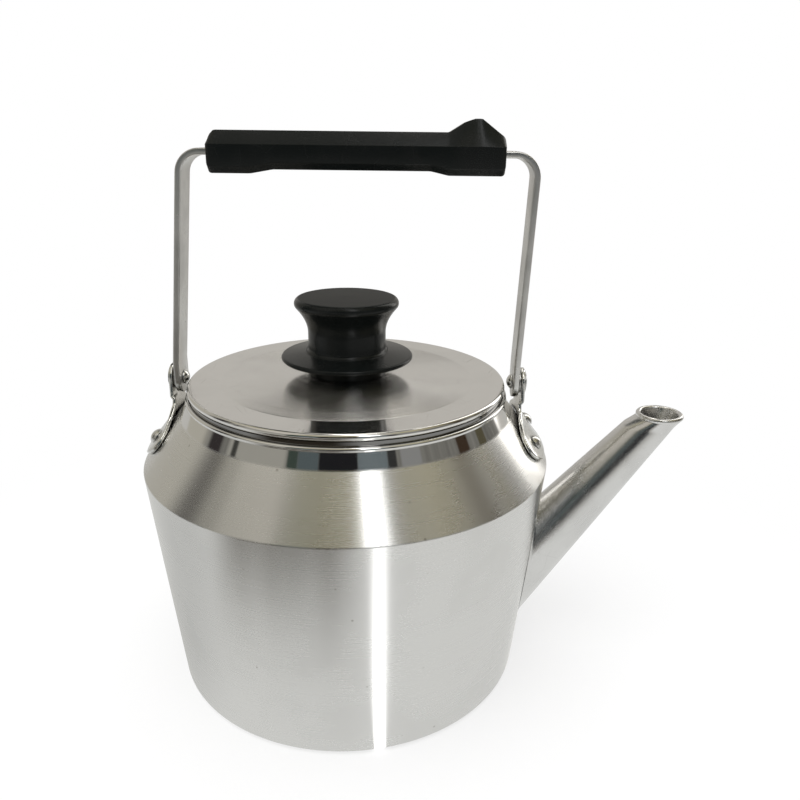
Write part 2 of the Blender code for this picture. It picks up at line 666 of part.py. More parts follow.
def bail_stations():
    """Where the strap's centreline goes from its rear end to its front end, as (x, z, half width)."""
    half = STRAP_WIDTH / 2
    top = PIVOT_Z + BAIL_HEIGHT
    eye_top = PIVOT_Z + STRAP_EYE_LENGTH
    rear, rear_top = (-STRAP_X, eye_top), (BAIL_OFFSET - BAIL_SPREAD / 2, top)
    front_top, front = (BAIL_OFFSET + BAIL_SPREAD / 2, top), (STRAP_X, eye_top)
    eye = []
    for i in range(STRAP_EYE_STEPS):
        angle = math.pi / 2 * i / STRAP_EYE_STEPS
        eye.append((PIVOT_Z - half * math.cos(angle), half * max(math.sin(angle), BLUNT_END)))
    eye.append((PIVOT_Z, half))
    stations = [(-STRAP_X, z, width) for z, width in eye]
    stations.append((*rear, half))
    stations += [(x, z, half) for x, z in rounded(rear, rear_top, front_top, BAIL_BEND, 6)]
    stations += [(x, z, half) for x, z in rounded(rear_top, front_top, front, BAIL_BEND, 6)]
    stations.append((*front, half))
    stations += [(STRAP_X, z, width) for z, width in reversed(eye)]
    return stations


def make_bail_strap(material, pivot):
    stations = bail_stations()
    rings = []
    for i, (x, z, half) in enumerate(stations):
        here = Vector((x, z))
        before = Vector(stations[i - 1][:2]) if i else here * 2 - Vector(stations[1][:2])
        after = Vector(stations[i + 1][:2]) if i < len(stations) - 1 else here * 2 - before
        incoming = (here - before).normalized()
        along = (incoming + (after - here).normalized()).normalized()
        side = Vector((-along.y, along.x)) * STRAP_THICKNESS / 2 / along.dot(incoming)
        outside, inside = here + side, here - side
        ring = [(outside.x, -half, outside.y), (outside.x, half, outside.y)]
        ring += [(inside.x, half, inside.y), (inside.x, -half, inside.y)]
        rings.append(ring)
    strap = add_object("bail_strap", loft(rings), material, (0, 0, PIVOT_Z), pivot)
    for side, name in ((-1, "rear"), (1, "front")):
        subtract(strap, pivot_hole_cutter("strap_" + name, side, PIVOT_PLAY))
    return strap


def grip_section(x, top, bottom, inset):
    """A facetted cross-section of the grip, (x, y, z) round from the lower edge."""
    half = GRIP_WIDTH / 2 - inset
    top_half = GRIP_TOP_FACET / 2 - inset / 2
    right = [(half - GRIP_CHAMFER, bottom), (half, bottom + GRIP_CHAMFER), (half, GRIP_SHOULDER)]
    right += [(top_half + GRIP_END_ROUND / 2, top - GRIP_END_ROUND / 2), (top_half, top)]
    outline = right + [(-y, z) for y, z in reversed(right)]
    centre_z = PIVOT_Z + BAIL_HEIGHT
    return [(x, y, centre_z + z) for y, z in outline]


def make_grip(material, pivot):
    rear = GRIP_OFFSET - GRIP_LENGTH / 2
    front = GRIP_OFFSET + GRIP_LENGTH / 2
    end = GRIP_END_ROUND
    high = GRIP_HALF_HEIGHT
    hump = high + GRIP_HUMP
    recess = GRIP_RECESS - high
    recess_rear = rear + GRIP_RECESS_INSET[0]
    recess_front = front - GRIP_RECESS_INSET[1]
    hump_rear = front - GRIP_HUMP_LENGTH
    # Station, top, bottom and how far the sides are drawn in, from the rear end
    stations = [
        (rear, high - end, end - high, end),
        (rear + end, high, -high, 0.0),
        (recess_rear, high, -high, 0.0),
        (recess_rear + GRIP_RECESS_SLOPE[0], high, recess, 0.0),
        (recess_front - GRIP_RECESS_SLOPE[1], high, recess, 0.0),
        (recess_front, high, -high, 0.0),
        (hump_rear, hump - GRIP_HUMP_STEP, -high, 0.0),
        (hump_rear + GRIP_HUMP_RAMP, hump, -high, 0.0),
        (hump_rear + GRIP_HUMP_RAMP + GRIP_HUMP_FLAT, hump, -high, 0.0),
        (front - end, high - end / 2, -high, 0.0),
        (front, high - 2 * end, end - high, end),
    ]
    rings = [grip_section(*station) for station in stations]
    grip = add_object("grip", loft(rings), material, (0, 0, PIVOT_Z), pivot)
    slot_half_width = STRAP_WIDTH / 2 + GAP
    slot_half_height = STRAP_THICKNESS / 2 + GAP
    centre_z = PIVOT_Z + BAIL_HEIGHT
    rings = []
    for x in (rear - end, front + end):
        corners = [(-1, -1), (1, -1), (1, 1), (-1, 1)]
        rings.append([(x, a * slot_half_width, centre_z + b * slot_half_height) for a, b in corners])
    subtract(grip, add_cutter("grip_slot_cut", loft(rings)))
    return grip


def main():
    clear_scene()
    spun = make_material("spun_aluminium", (0.78, 0.77, 0.75), 0.30, 1.0)
    polished = make_material("polished_aluminium", (0.80, 0.79, 0.77), 0.12, 1.0)
    cast = make_material("pressed_aluminium", (0.72, 0.72, 0.70), 0.35, 1.0)
    steel = make_material("strap_steel", (0.60, 0.59, 0.57), 0.28, 1.0)
    rivet = make_material("rivet_metal", (0.75, 0.75, 0.74), 0.25, 1.0)
    brass = make_material("insert_brass", (0.71, 0.56, 0.28), 0.35, 1.0)
    black = make_material("black_phenolic", (0.018, 0.019, 0.018), 0.38, 0.0)

    bail_pivot = add_empty("bail_pivot", (0, 0, PIVOT_Z))
    lid_lift = add_empty("lid_lift", (0, 0, LID_SEAT))

    make_body(spun)
    make_spout(polished)
    make_lid(polished, lid_lift)
    make_knob(black, lid_lift)
    make_knob_fixings(brass, steel, lid_lift)
    for side, label in ((1, "front"), (-1, "rear")):
        make_ear("ear_" + label, side, cast)
        make_ear_rivets(side, label, rivet)
        make_pivot(side, label, rivet, steel)
    make_bail_strap(steel, bail_pivot)
    make_grip(black, bail_pivot)


main()
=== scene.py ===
"""The looks of an aluminium camp kettle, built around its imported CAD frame.

Metres, +Z up, in the frame's own axes: the origin is the centre of the flat base, +X points to
the spout, and the bail swings about an axis along X.
"""

import json
import logging
import math
from dataclasses import dataclass
from enum import Enum

import bmesh
import bpy
from bmesh.types import BMesh
from bpy.types import Material, Node, NodeSocket, NodeTree, Object, bpy_prop_collection
from mathutils import Matrix, Vector


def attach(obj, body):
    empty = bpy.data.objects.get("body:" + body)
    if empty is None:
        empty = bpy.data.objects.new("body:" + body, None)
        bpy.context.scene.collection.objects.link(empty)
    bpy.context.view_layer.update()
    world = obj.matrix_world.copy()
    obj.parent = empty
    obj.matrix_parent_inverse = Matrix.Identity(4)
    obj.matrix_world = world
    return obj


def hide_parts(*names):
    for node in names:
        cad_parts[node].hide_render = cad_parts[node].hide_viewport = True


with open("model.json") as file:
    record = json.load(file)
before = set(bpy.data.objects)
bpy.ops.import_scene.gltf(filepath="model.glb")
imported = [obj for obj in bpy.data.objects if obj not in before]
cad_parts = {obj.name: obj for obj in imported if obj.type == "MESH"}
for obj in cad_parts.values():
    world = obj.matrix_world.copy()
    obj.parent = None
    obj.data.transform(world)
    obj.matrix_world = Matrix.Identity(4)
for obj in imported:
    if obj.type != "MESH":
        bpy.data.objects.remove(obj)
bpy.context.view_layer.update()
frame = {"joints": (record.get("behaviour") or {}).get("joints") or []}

JOINTS = {joint["name"]: joint for joint in frame["joints"]}
PIVOT_Z = JOINTS["bail_swing"]["pos_m"][2]

# Gap between neighbours that touch on the real kettle, and the play of the bail on its rivets
GAP = 0.0003
PIVOT_PLAY = 0.0001

# Half width, as a share, that a rounded strap or lug keeps at its very end
BLUNT_END = 0.08

# How far a cutter runs past what it cuts, and the longest edge that is closed up after a cut
CUT_MARGIN = 0.0020
SHORT_EDGE = 0.000002

# Facets round a full turn, for pieces of three sizes
LARGE_TURNED = 256
MIDDLE_TURNED = 128
SMALL_TURNED = 40

# Lathe-turned meshes are welded below this distance, at their seam and on their axis
WELD = 0.000001

# Angle in degrees over which an edge is drawn sharp: on the body's sheet, on most pieces, on curved plates
SHARP_SHEET = 30.0
SHARP = 38.0
SHARP_CURVED = 50.0

# Half a turn in degrees, and the quarter turn that lays a shader's streaks across the marks
HALF_TURN = 180.0
QUARTER_TURN = 0.25

# What a node's input takes (a number, a colour or vector, or another node's output), and a node's outputs
Value = float | tuple | NodeSocket
Outputs = bpy_prop_collection

log = logging.getLogger("kettle")


class Body(Enum):
    """The bodies of the frame that pieces ride on."""

    KETTLE = "kettle"
    LID = "lid"
    BAIL = "bail"


class Slot(Enum):
    """The record's material slots."""

    SPUN = "spun_aluminium"
    POLISHED = "polished_aluminium"
    PRESSED = "pressed_aluminium"
    STRAP = "strap_steel"
    RIVET = "rivet_metal"
    BRASS = "insert_brass"
    BLACK = "black_phenolic"


class Graph:
    """Adds the nodes of one tree and joins their sockets."""

    def __init__(self, tree: NodeTree) -> None:
        """Keeps the tree that the nodes are added to."""
        self.tree = tree

    def add(self, kind: str, inputs: dict | None = None, **settings: object) -> Node:
        """Adds one node.

        Args:
            kind: The node's type, such as ShaderNodeMath.
            inputs: Values or output sockets, by the name of the input they feed.
            settings: The node's own settings.

        Returns:
            The new node.
        """
        node = self.tree.nodes.new(kind)
        for name, value in settings.items():
            setattr(node, name, value)
        for name, value in (inputs or {}).items():
            self.feed(node.inputs[name], value)
        return node

    def feed(self, socket: NodeSocket, value: Value) -> None:
        """Joins an output socket to an input, or sets the input's own value."""
        if isinstance(value, NodeSocket):
            self.tree.links.new(value, socket)
        else:
            socket.default_value = value

    def math(self, operation: str, *operands: Value) -> NodeSocket:
        """Returns the result of a Math node."""
        node = self.add("ShaderNodeMath", operation=operation)
        for socket, operand in zip(node.inputs, operands):
            self.feed(socket, operand)
        return node.outputs[0]

    def vector(self, operation: str, *operands: Value) -> NodeSocket:
        """Returns the result of a Vector Math node, a number for LENGTH and DOT_PRODUCT."""
        node = self.add("ShaderNodeVectorMath", operation=operation)
        for socket, operand in zip(node.inputs, operands):
            self.feed(socket, operand)
        return node.outputs["Value" if operation in ("LENGTH", "DOT_PRODUCT") else "Vector"]

    def step(self, value: Value, low: Value, high: Value) -> NodeSocket:
        """Returns 0 below low and 1 above high, with a smooth rise between."""
        inputs = {"Value": value, "From Min": low, "From Max": high}
        node = self.add("ShaderNodeMapRange", inputs, interpolation_type="SMOOTHSTEP")
        return node.outputs["Result"]

    def blend(self, share: Value, first: Value, second: Value) -> NodeSocket:
        """Returns a number that goes from first to second as share goes from 0 to 1."""
        inputs = {"Value": share, "To Min": first, "To Max": second}
        return self.add("ShaderNodeMapRange", inputs).outputs["Result"]

    def tint(self, share: Value, first: Value, second: Value) -> NodeSocket:
        """Returns a colour that goes from first to second as share goes from 0 to 1."""
        node = self.add("ShaderNodeMix", data_type="RGBA")
        self.feed(node.inputs["Factor"], share)
        for socket, colour in zip((s for s in node.inputs if s.type == "RGBA"), (first, second)):
            self.feed(socket, (*colour, 1.0) if isinstance(colour, tuple) else colour)
        return next(socket for socket in node.outputs if socket.type == "RGBA")

    def parts(self, vector: NodeSocket) -> Outputs:
        """Returns the X, Y and Z outputs of a vector."""
        return self.add("ShaderNodeSeparateXYZ", {"Vector": vector}).outputs

    def scaled(self, vector: NodeSocket, factor: Value) -> NodeSocket:
        """Returns a vector or a colour times a factor."""
        inputs = {"Vector": vector, "Scale": factor}
        return self.add("ShaderNodeVectorMath", inputs, operation="SCALE").outputs["Vector"]

    def stretched(self, place: NodeSocket, scale: tuple) -> NodeSocket:
        """Returns a place with each axis scaled by its own number."""
        return self.add("ShaderNodeMapping", {"Vector": place, "Scale": scale}).outputs["Vector"]

    def noise(self, place: NodeSocket, scale: float, detail: float = 2.0) -> NodeSocket:
        """Returns a noise value, 0 to 1, at a place."""
        inputs = {"Vector": place, "Scale": scale, "Detail": detail}
        return self.add("ShaderNodeTexNoise", inputs).outputs["Fac"]

    def place(self) -> NodeSocket:
        """Returns the object coordinates."""
        return self.add("ShaderNodeTexCoord").outputs["Object"]


def new_group(name: str, inputs: dict, outputs: list) -> tuple:
    """Starts a shader node group.

    Args:
        name: The group's name.
        inputs: Default numbers of its inputs, by name.
        outputs: Names of its outputs, which are all numbers.

    Returns:
        The group's tree, its Graph, what it is given, and the inputs of its output node.
    """
    tree = bpy.data.node_groups.new(name, "ShaderNodeTree")
    for label, value in inputs.items():
        socket = tree.interface.new_socket(label, in_out="INPUT", socket_type="NodeSocketFloat")
        socket.default_value = value
    for label in outputs:
        tree.interface.new_socket(label, in_out="OUTPUT", socket_type="NodeSocketFloat")
    graph = Graph(tree)
    return tree, graph, graph.add("NodeGroupInput").outputs, graph.add("NodeGroupOutput").inputs


def use_group(graph: Graph, tree: NodeTree, **inputs: Value) -> Node:
    """Places a shader group in a material and feeds its inputs by name, with _ for a space."""
    node = graph.add("ShaderNodeGroup", node_tree=tree)
    for name, value in inputs.items():
        graph.feed(node.inputs[name.replace("_", " ")], value)
    return node


@dataclass(frozen=True)
class TurningMarks:
    """The fine concentric lines that a lathe tool leaves, and the broader rings among them."""

    line_drift: float = 0.9
    ring_drift: float = 0.25
    detail: float = 3.0

    def build(self) -> NodeTree:
        """Makes the shader group, which is told how many lines and rings there are to a metre."""
        sizes = {"Fine": 0.0, "Broad": 0.0}
        tree, graph, given, results = new_group("turning_marks", sizes, ["Lines", "Rings"])
        place = graph.parts(graph.place())
        flat = graph.add("ShaderNodeCombineXYZ", {"X": place["X"], "Y": place["Y"]}).outputs["Vector"]
        radius = graph.vector("LENGTH", flat)
        turn = graph.parts(graph.vector("NORMALIZE", flat))
        for scale, drift, name in (("Fine", self.line_drift, "Lines"), ("Broad", self.ring_drift, "Rings")):
            across = graph.math("MULTIPLY", radius, given[scale])
            up = graph.math("MULTIPLY", place["Z"], given[scale])
            across = graph.math("MULTIPLY_ADD", turn["X"], drift, across)
            up = graph.math("MULTIPLY_ADD", turn["Y"], drift, up)
            row = graph.add("ShaderNodeCombineXYZ", {"X": across, "Y": up}).outputs["Vector"]
            graph.feed(results[name], graph.noise(row, 1.0, self.detail))
        return tree


@dataclass(frozen=True)
class Handling:
    """What use leaves on a surface: soft smudges, hairline scratches and small specks.

    Each scale is in features to a metre, and each range is where a mark comes in or fades out.
    """

    smudge_scale: float = 34.0
    smudge_detail: float = 4.0
    smudge_range: tuple = (0.42, 0.68)
    hair_scale: float = 85.0
    hair_range: tuple = (0.004, 0.014)
    hair_patch_scale: float = 60.0
    hair_patch_range: tuple = (0.52, 0.62)
    speck_scale: float = 150.0
    speck_range: tuple = (0.05, 0.11)
    speck_patch_scale: float = 110.0
    speck_patch_range: tuple = (0.60, 0.66)

    def build(self) -> NodeTree:
        """Makes the shader group, which is told how much finer than usual the marks are."""
        tree, graph, given, results = new_group("handling", {"Scale": 1.0}, ["Smudge", "Scratch", "Speck"])
        place = graph.scaled(graph.place(), given["Scale"])
        smudge = graph.noise(place, self.smudge_scale, self.smudge_detail)
        graph.feed(results["Smudge"], graph.step(smudge, *self.smudge_range))
        cells = {"Vector": place, "Scale": self.hair_scale}
        hairs = graph.add("ShaderNodeTexVoronoi", cells, feature="DISTANCE_TO_EDGE").outputs["Distance"]
        thin = graph.math("SUBTRACT", 1.0, graph.step(hairs, *self.hair_range))
        patch = graph.step(graph.noise(place, self.hair_patch_scale, 1.0), *self.hair_patch_range)
        graph.feed(results["Scratch"], graph.math("MULTIPLY", thin, patch))
        cells = {"Vector": place, "Scale": self.speck_scale}
        dots = graph.add("ShaderNodeTexVoronoi", cells).outputs["Distance"]
        dot = graph.math("SUBTRACT", 1.0, graph.step(dots, *self.speck_range))
        patch = graph.step(graph.noise(place, self.speck_patch_scale, 0.0), *self.speck_patch_range)
        graph.feed(results["Speck"], graph.math("MULTIPLY", dot, patch))
        return tree


@dataclass(frozen=True)
class Groups:
    """The shader groups that the finishes share."""

    turning: NodeTree
    handling: NodeTree


class Coat(Graph):
    """The nodes of one finish's material, with its Principled shader and its marks of use."""

    def __init__(self, name: str, wear_scale: float, groups: Groups) -> None:
        """Makes the material.

        Args:
            name: The material's name.
            wear_scale: How much finer than usual its marks of use are.
            groups: The shader groups that the finishes share.
        """
        self.material = bpy.data.materials.new(name)
        self.material.use_nodes = True
        super().__init__(self.material.node_tree)
        self.inputs = self.tree.nodes["Principled BSDF"].inputs
        self.wear = use_group(self, groups.handling, Scale=wear_scale).outputs
        self.turning = groups.turning


@dataclass(frozen=True)
class Finish:
    """What every finish has: its plain values, and how use wears it.

    A noise of the surface spreads the roughness by spread, and a smudge adds smudge_rough to it. A smudge
    takes the colour times smudge_shade, and a scratch or a speck takes mark_share of mark_colour.
    """

    name: str
    colour: tuple
    roughness: float
    metallic: float = 1.0
    spread: float = 0.10
    wear_scale: float = 1.0
    smudge_rough: float = 0.05
    smudge_shade: float = 0.94
    mark_share: float = 0.4
    mark_colour: tuple = (0.55, 0.54, 0.52)

    def build(self, groups: Groups) -> Material:
        """Makes the material."""
        coat = Coat(self.name, self.wear_scale, groups)
        plain = {"Base Color": (*self.colour, 1.0), "Roughness": self.roughness, "Metallic": self.metallic}
        for name, value in plain.items():
            coat.inputs[name].default_value = value
        self.paint(coat)
        return coat.material

    def shade(self, share: float) -> tuple:
        """Returns the finish's colour made darker or lighter by a factor."""
        return tuple(channel * share for channel in self.colour)

    def varied(self, coat: Coat, noise: NodeSocket) -> NodeSocket:
        """Returns the roughness, spread by a noise of 0 to 1."""
        return coat.math("MULTIPLY_ADD", noise, self.spread, self.roughness - self.spread / 2)

    def handled(self, coat: Coat, roughness: Value) -> NodeSocket:
        """Returns a roughness that is raised by smudges."""
        return coat.math("MULTIPLY_ADD", coat.wear["Smudge"], self.smudge_rough, roughness)

    def worn(self, coat: Coat, mark: str) -> NodeSocket:
        """Returns the colour with its smudges, and with its marks: Scratch or Speck."""
        smudged = coat.tint(coat.wear["Smudge"], self.colour, self.shade(self.smudge_shade))
        share = coat.math("MULTIPLY", coat.wear[mark], self.mark_share)
        return coat.tint(share, smudged, self.mark_colour)

    def dress(self, coat: Coat, roughness: Value, colour: Value, height: Value, depth: float) -> None:
        """Feeds the shader.

        Args:
            coat: The material's nodes.
            roughness: The roughness.
            colour: The base colour.
            height: The bump's height, as a share of its depth.
            depth: The bump's depth in metres.
        """
        coat.feed(coat.inputs["Roughness"], roughness)
        coat.feed(coat.inputs["Base Color"], colour)
        bump = coat.add("ShaderNodeBump", {"Height": height, "Distance": depth, "Strength": 1.0})
        coat.feed(coat.inputs["Normal"], bump.outputs["Normal"])

    def spin(self, coat: Coat, strength: float) -> None:
        """Spreads reflections across the turning marks, as a spun surface does."""
        tangent = coat.add("ShaderNodeTangent", direction_type="RADIAL", axis="Z")
        coat.inputs["Anisotropic"].default_value = strength
        coat.inputs["Anisotropic Rotation"].default_value = QUARTER_TURN
        coat.feed(coat.inputs["Tangent"], tangent.outputs["Tangent"])


@dataclass(frozen=True)
class SpunAluminium(Finish):
    """The body: satin from the spinning lathe, with its neck polished by the tool."""

    spread: float = 0.03
    smudge_rough: float = 0.012
    smudge_shade: float = 0.975
    mark_share: float = 0.5
    mark_colour: tuple = (0.32, 0.30, 0.27)
    lines_per_metre: float = 1300.0
    rings_per_metre: float = 170.0
    neck_foot: float = 0.1358
    neck_edge: float = 0.0012
    neck_roughness: float = 0.065
    neck_relief: float = 0.15
    streak_range: tuple = (0.62, 0.74)
    streak_share: float = 0.04
    streak_colour: tuple = (0.62, 0.61, 0.59)
    spin_strength: float = 0.95
    line_depth: float = 0.0000008
    ring_depth: float = 0.000010
    scratch_height: float = -0.10

    def paint(self, coat: Coat) -> None:
        """Works out what the shader is given."""
        scales = {"Fine": self.lines_per_metre, "Broad": self.rings_per_metre}
        marks = use_group(coat, coat.turning, **scales).outputs
        height = coat.parts(coat.place())["Z"]
        neck = coat.step(height, self.neck_foot, self.neck_foot + self.neck_edge)
        satin = self.handled(coat, self.varied(coat, marks["Lines"]))
        rough = coat.blend(neck, satin, self.neck_roughness)
        streak = coat.math("MULTIPLY", coat.step(marks["Lines"], *self.streak_range), self.streak_share)
        colour = coat.tint(streak, self.worn(coat, "Speck"), self.streak_colour)
        lines = coat.math("MULTIPLY", marks["Lines"], self.line_depth / self.ring_depth)
        relief = coat.math("ADD", marks["Rings"], lines)
        relief = coat.math("MULTIPLY", relief, coat.blend(neck, 1.0, self.neck_relief))
        relief = coat.math("MULTIPLY_ADD", coat.wear["Scratch"], self.scratch_height, relief)
        self.dress(coat, rough, colour, relief, self.ring_depth)
        self.spin(coat, self.spin_strength)


@dataclass(frozen=True)
class TurnedPolish(Finish):
    """The lid: its cone turned, its band and rim buffed bright, and painted shade darkening its groove under
    the rim.
    """

    spread: float = 0.06
    wear_scale: float = 1.2
    smudge_rough: float = 0.02
    smudge_shade: float = 0.97
    mark_share: float = 0.35
    lines_per_metre: float = 1700.0
    rings_per_metre: float = 230.0
    spin_strength: float = 1.0
    band_depth: float = 0.000010
    cone_depth: float = 0.00025
    # Painted shade: below groove_top, the groove under the rim and the skirt take the colour darkened by this
    # share
    groove_top: float = 0.1470
    groove_edge: float = 0.0005
    groove_painted_shade: float = 0.30
    band_start: float = 0.0612
    band_full: float = 0.0622
    band_roughness: float = 0.085

    def paint(self, coat: Coat) -> None:
        """Works out what the shader is given."""
        scales = {"Fine": self.lines_per_metre, "Broad": self.rings_per_metre}
        marks = use_group(coat, coat.turning, **scales).outputs
        place = coat.place()
        radius = coat.vector("LENGTH", coat.vector("MULTIPLY", place, (1.0, 1.0, 0.0)))
        band = coat.step(radius, self.band_start, self.band_full)
        rough = coat.blend(band, self.varied(coat, marks["Lines"]), self.band_roughness)
        # Painted shade: below groove_top the colour turns dark, the shade of the crease under the rim
        above = coat.step(coat.parts(place)["Z"], self.groove_top, self.groove_top + self.groove_edge)
        colour = coat.tint(above, self.shade(self.groove_painted_shade), self.worn(coat, "Scratch"))
        relief = coat.math("ADD", marks["Rings"], marks["Lines"])
        relief = coat.math("SUBTRACT", relief, coat.wear["Scratch"])
        fine = self.band_depth / self.cone_depth
        turned = coat.math("MULTIPLY_ADD", relief, fine, marks["Rings"])
        relief = coat.blend(band, turned, coat.math("MULTIPLY", relief, fine))
        self.dress(coat, self.handled(coat, rough), colour, relief, self.cone_depth)
        self.spin(coat, self.spin_strength)


@dataclass(frozen=True)
class DrawnPolish(Finish):
    """The spout: drawn to a cone and polished lengthwise, so it is faintly lumpy along its length."""

    wear_scale: float = 1.4
    lean: float = math.radians(51.8)
    root: tuple = (0.0941, 0.0, 0.0532)
    grain_scale: float = 1400.0
    grain_detail: float = 3.0
    grain_stretch: tuple = (1.0, 1.0, 0.10)
    grain_height: float = 0.015
    lump_scale: float = 70.0
    lump_stretch: tuple = (1.0, 1.0, 0.35)
    lump_depth: float = 0.00035

    def paint(self, coat: Coat) -> None:
        """Works out what the shader is given."""
        turn = (0.0, math.pi / 2 - self.lean, 0.0)
        inputs = {"Vector": coat.place(), "Location": self.root, "Rotation": turn}
        along = coat.add("ShaderNodeMapping", inputs, vector_type="TEXTURE").outputs["Vector"]
        grain = coat.noise(coat.stretched(along, self.grain_stretch), self.grain_scale, self.grain_detail)
        lumps = coat.noise(coat.stretched(along, self.lump_stretch), self.lump_scale, 1.0)
        rough = self.handled(coat, self.varied(coat, grain))
        relief = coat.math("MULTIPLY_ADD", grain, self.grain_height, lumps)
        self.dress(coat, rough, self.worn(coat, "Scratch"), relief, self.lump_depth)


@dataclass(frozen=True)
class PressedAluminium(Finish):
    """The ears: blanked and pressed sheet, tumbled to a soft polish."""

    wear_scale: float = 1.8
    smudge_rough: float = 0.10
    smudge_shade: float = 0.9
    mark_share: float = 1.0
    mark_colour: tuple = (0.50, 0.49, 0.47)
    wave_scale: float = 210.0
    wave_depth: float = 0.00012
    grain_scale: float = 2600.0
    grain_height: float = 0.04
    scratch_height: float = -0.15

    def paint(self, coat: Coat) -> None:
        """Works out what the shader is given."""
        place = coat.place()
        waves = coat.noise(place, self.wave_scale, 1.0)
        relief = coat.math("MULTIPLY_ADD", coat.noise(place, self.grain_scale), self.grain_height, waves)
        relief = coat.math("MULTIPLY_ADD", coat.wear["Scratch"], self.scratch_height, relief)
        rough = self.handled(coat, self.roughness)
        self.dress(coat, rough, self.worn(coat, "Scratch"), relief, self.wave_depth)


@dataclass(frozen=True)
class StrapSteel(Finish):
    """The strap, washers and screw: cold-rolled strip with its grain along the strip."""

    spread: float = 0.16
    wear_scale: float = 1.5
    smudge_rough: float = 0.08
    smudge_shade: float = 0.86
    mark_share: float = 1.0
    mark_colour: tuple = (0.22, 0.20, 0.18)
    grain_scale: float = 2400.0
    grain_detail: float = 3.0
    grain_stretch: tuple = (0.06, 1.0, 0.06)
    grain_depth: float = 0.00002
    scratch_height: float = -0.8

    def paint(self, coat: Coat) -> None:
        """Works out what the shader is given."""
        rolled = coat.stretched(coat.place(), self.grain_stretch)
        grain = coat.noise(rolled, self.grain_scale, self.grain_detail)
        rough = self.handled(coat, self.varied(coat, grain))
        relief = coat.math("MULTIPLY_ADD", coat.wear["Scratch"], self.scratch_height, grain)
        self.dress(coat, rough, self.worn(coat, "Speck"), relief, self.grain_depth)


@dataclass(frozen=True)
class SetMetal(Finish):
    """Rivets and the brass insert: soft metal with the fine marks of the tool that set or turned it."""

    spread: float = 0.12
    wear_scale: float = 2.5
    smudge_shade: float = 0.85
    mark_share: float = 0.0
    dent_scale: float = 700.0
    dent_depth: float = 0.00003

    def paint(self, coat: Coat) -> None:
        """Works out what the shader is given."""
        dents = coat.noise(coat.place(), self.dent_scale)
        rough = self.varied(coat, dents)
        self.dress(coat, rough, self.worn(coat, "Scratch"), dents, self.dent_depth)


@dataclass(frozen=True)
class BlackPhenolic(Finish):
    """The knob and the grip: thermoset moulding with a faint grain, and duller where it is handled."""

    wear_scale: float = 1.6
    mark_share: float = 0.25
    mark_colour: tuple = (0.02, 0.02, 0.019)
    smudge_colour: tuple = (0.006, 0.0068, 0.0064)
    knob_top: float = 0.1902
    knob_edge: float = 0.0004
    matt_reach: tuple = (0.010, 0.011)
    matt_top: float = 0.50
    grain_scale: float = 1900.0
    grain_detail: float = 3.0
    grain_depth: float = 0.00002
    flow_scale: float = 90.0
    flow_height: float = 2.0
    ior: float = 1.30

    def paint(self, coat: Coat) -> None:
        """Works out what the shader is given, matt on the knob's top."""
        place = coat.place()
        grain = coat.noise(place, self.grain_scale, self.grain_detail)
        rough = self.handled(coat, self.varied(coat, grain))
        height = coat.parts(place)["Z"]
        above = coat.step(height, self.knob_top - self.knob_edge, self.knob_top)
        over = coat.step(height, *(self.knob_top + reach for reach in self.matt_reach))
        rough = coat.blend(coat.math("SUBTRACT", above, over), rough, self.matt_top)
        colour = coat.tint(coat.wear["Smudge"], self.colour, self.smudge_colour)
        scratch = coat.math("MULTIPLY", coat.wear["Scratch"], self.mark_share)
        colour = coat.tint(scratch, colour, self.mark_colour)
        flow = coat.noise(place, self.flow_scale)
        relief = coat.math("MULTIPLY_ADD", flow, self.flow_height, grain)
        self.dress(coat, rough, colour, relief, self.grain_depth)
        coat.inputs["IOR"].default_value = self.ior


class MeshTree:
    """A Geometry Nodes tree that dresses what it makes, and the modifiers that use it."""

    def __init__(self, name: str, kinds: dict) -> None:
        """Starts the tree.

        Args:
            name: The tree's name.
            kinds: Socket types of its inputs, by name. A material, Finish, comes last.
        """
        self.tree = bpy.data.node_groups.new(name, "GeometryNodeTree")
        self.tree.is_modifier = True
        self.sockets = {}
        for label, kind in {**kinds, "Finish": "NodeSocketMaterial"}.items():
            self.sockets[label] = self.tree.interface.new_socket(label, in_out="INPUT", socket_type=kind)
        self.tree.interface.new_socket("Mesh", in_out="OUTPUT", socket_type="NodeSocketGeometry")
        self.graph = Graph(self.tree)
        self.given = self.graph.add("NodeGroupInput").outputs

    def close(self, mesh: NodeSocket) -> None:
        """Ends the tree: its copies are made real, and the finish is put on."""
        real = self.graph.add("GeometryNodeRealizeInstances", {"Geometry": mesh}).outputs["Geometry"]
        inputs = {"Geometry": real, "Material": self.given["Finish"]}
        painted = self.graph.add("GeometryNodeSetMaterial", inputs).outputs["Geometry"]
        self.graph.add("NodeGroupOutput", {"Mesh": painted})

    def apply(self, obj: Object, values: dict) -> None:
        """Runs the tree on an object, with the tree's inputs set by name, and keeps what comes out."""
        modifier = obj.modifiers.new(self.tree.name, "NODES")
        modifier.node_group = self.tree
        for label, value in values.items():
            modifier[self.sockets[label].identifier] = value
        settle(obj)


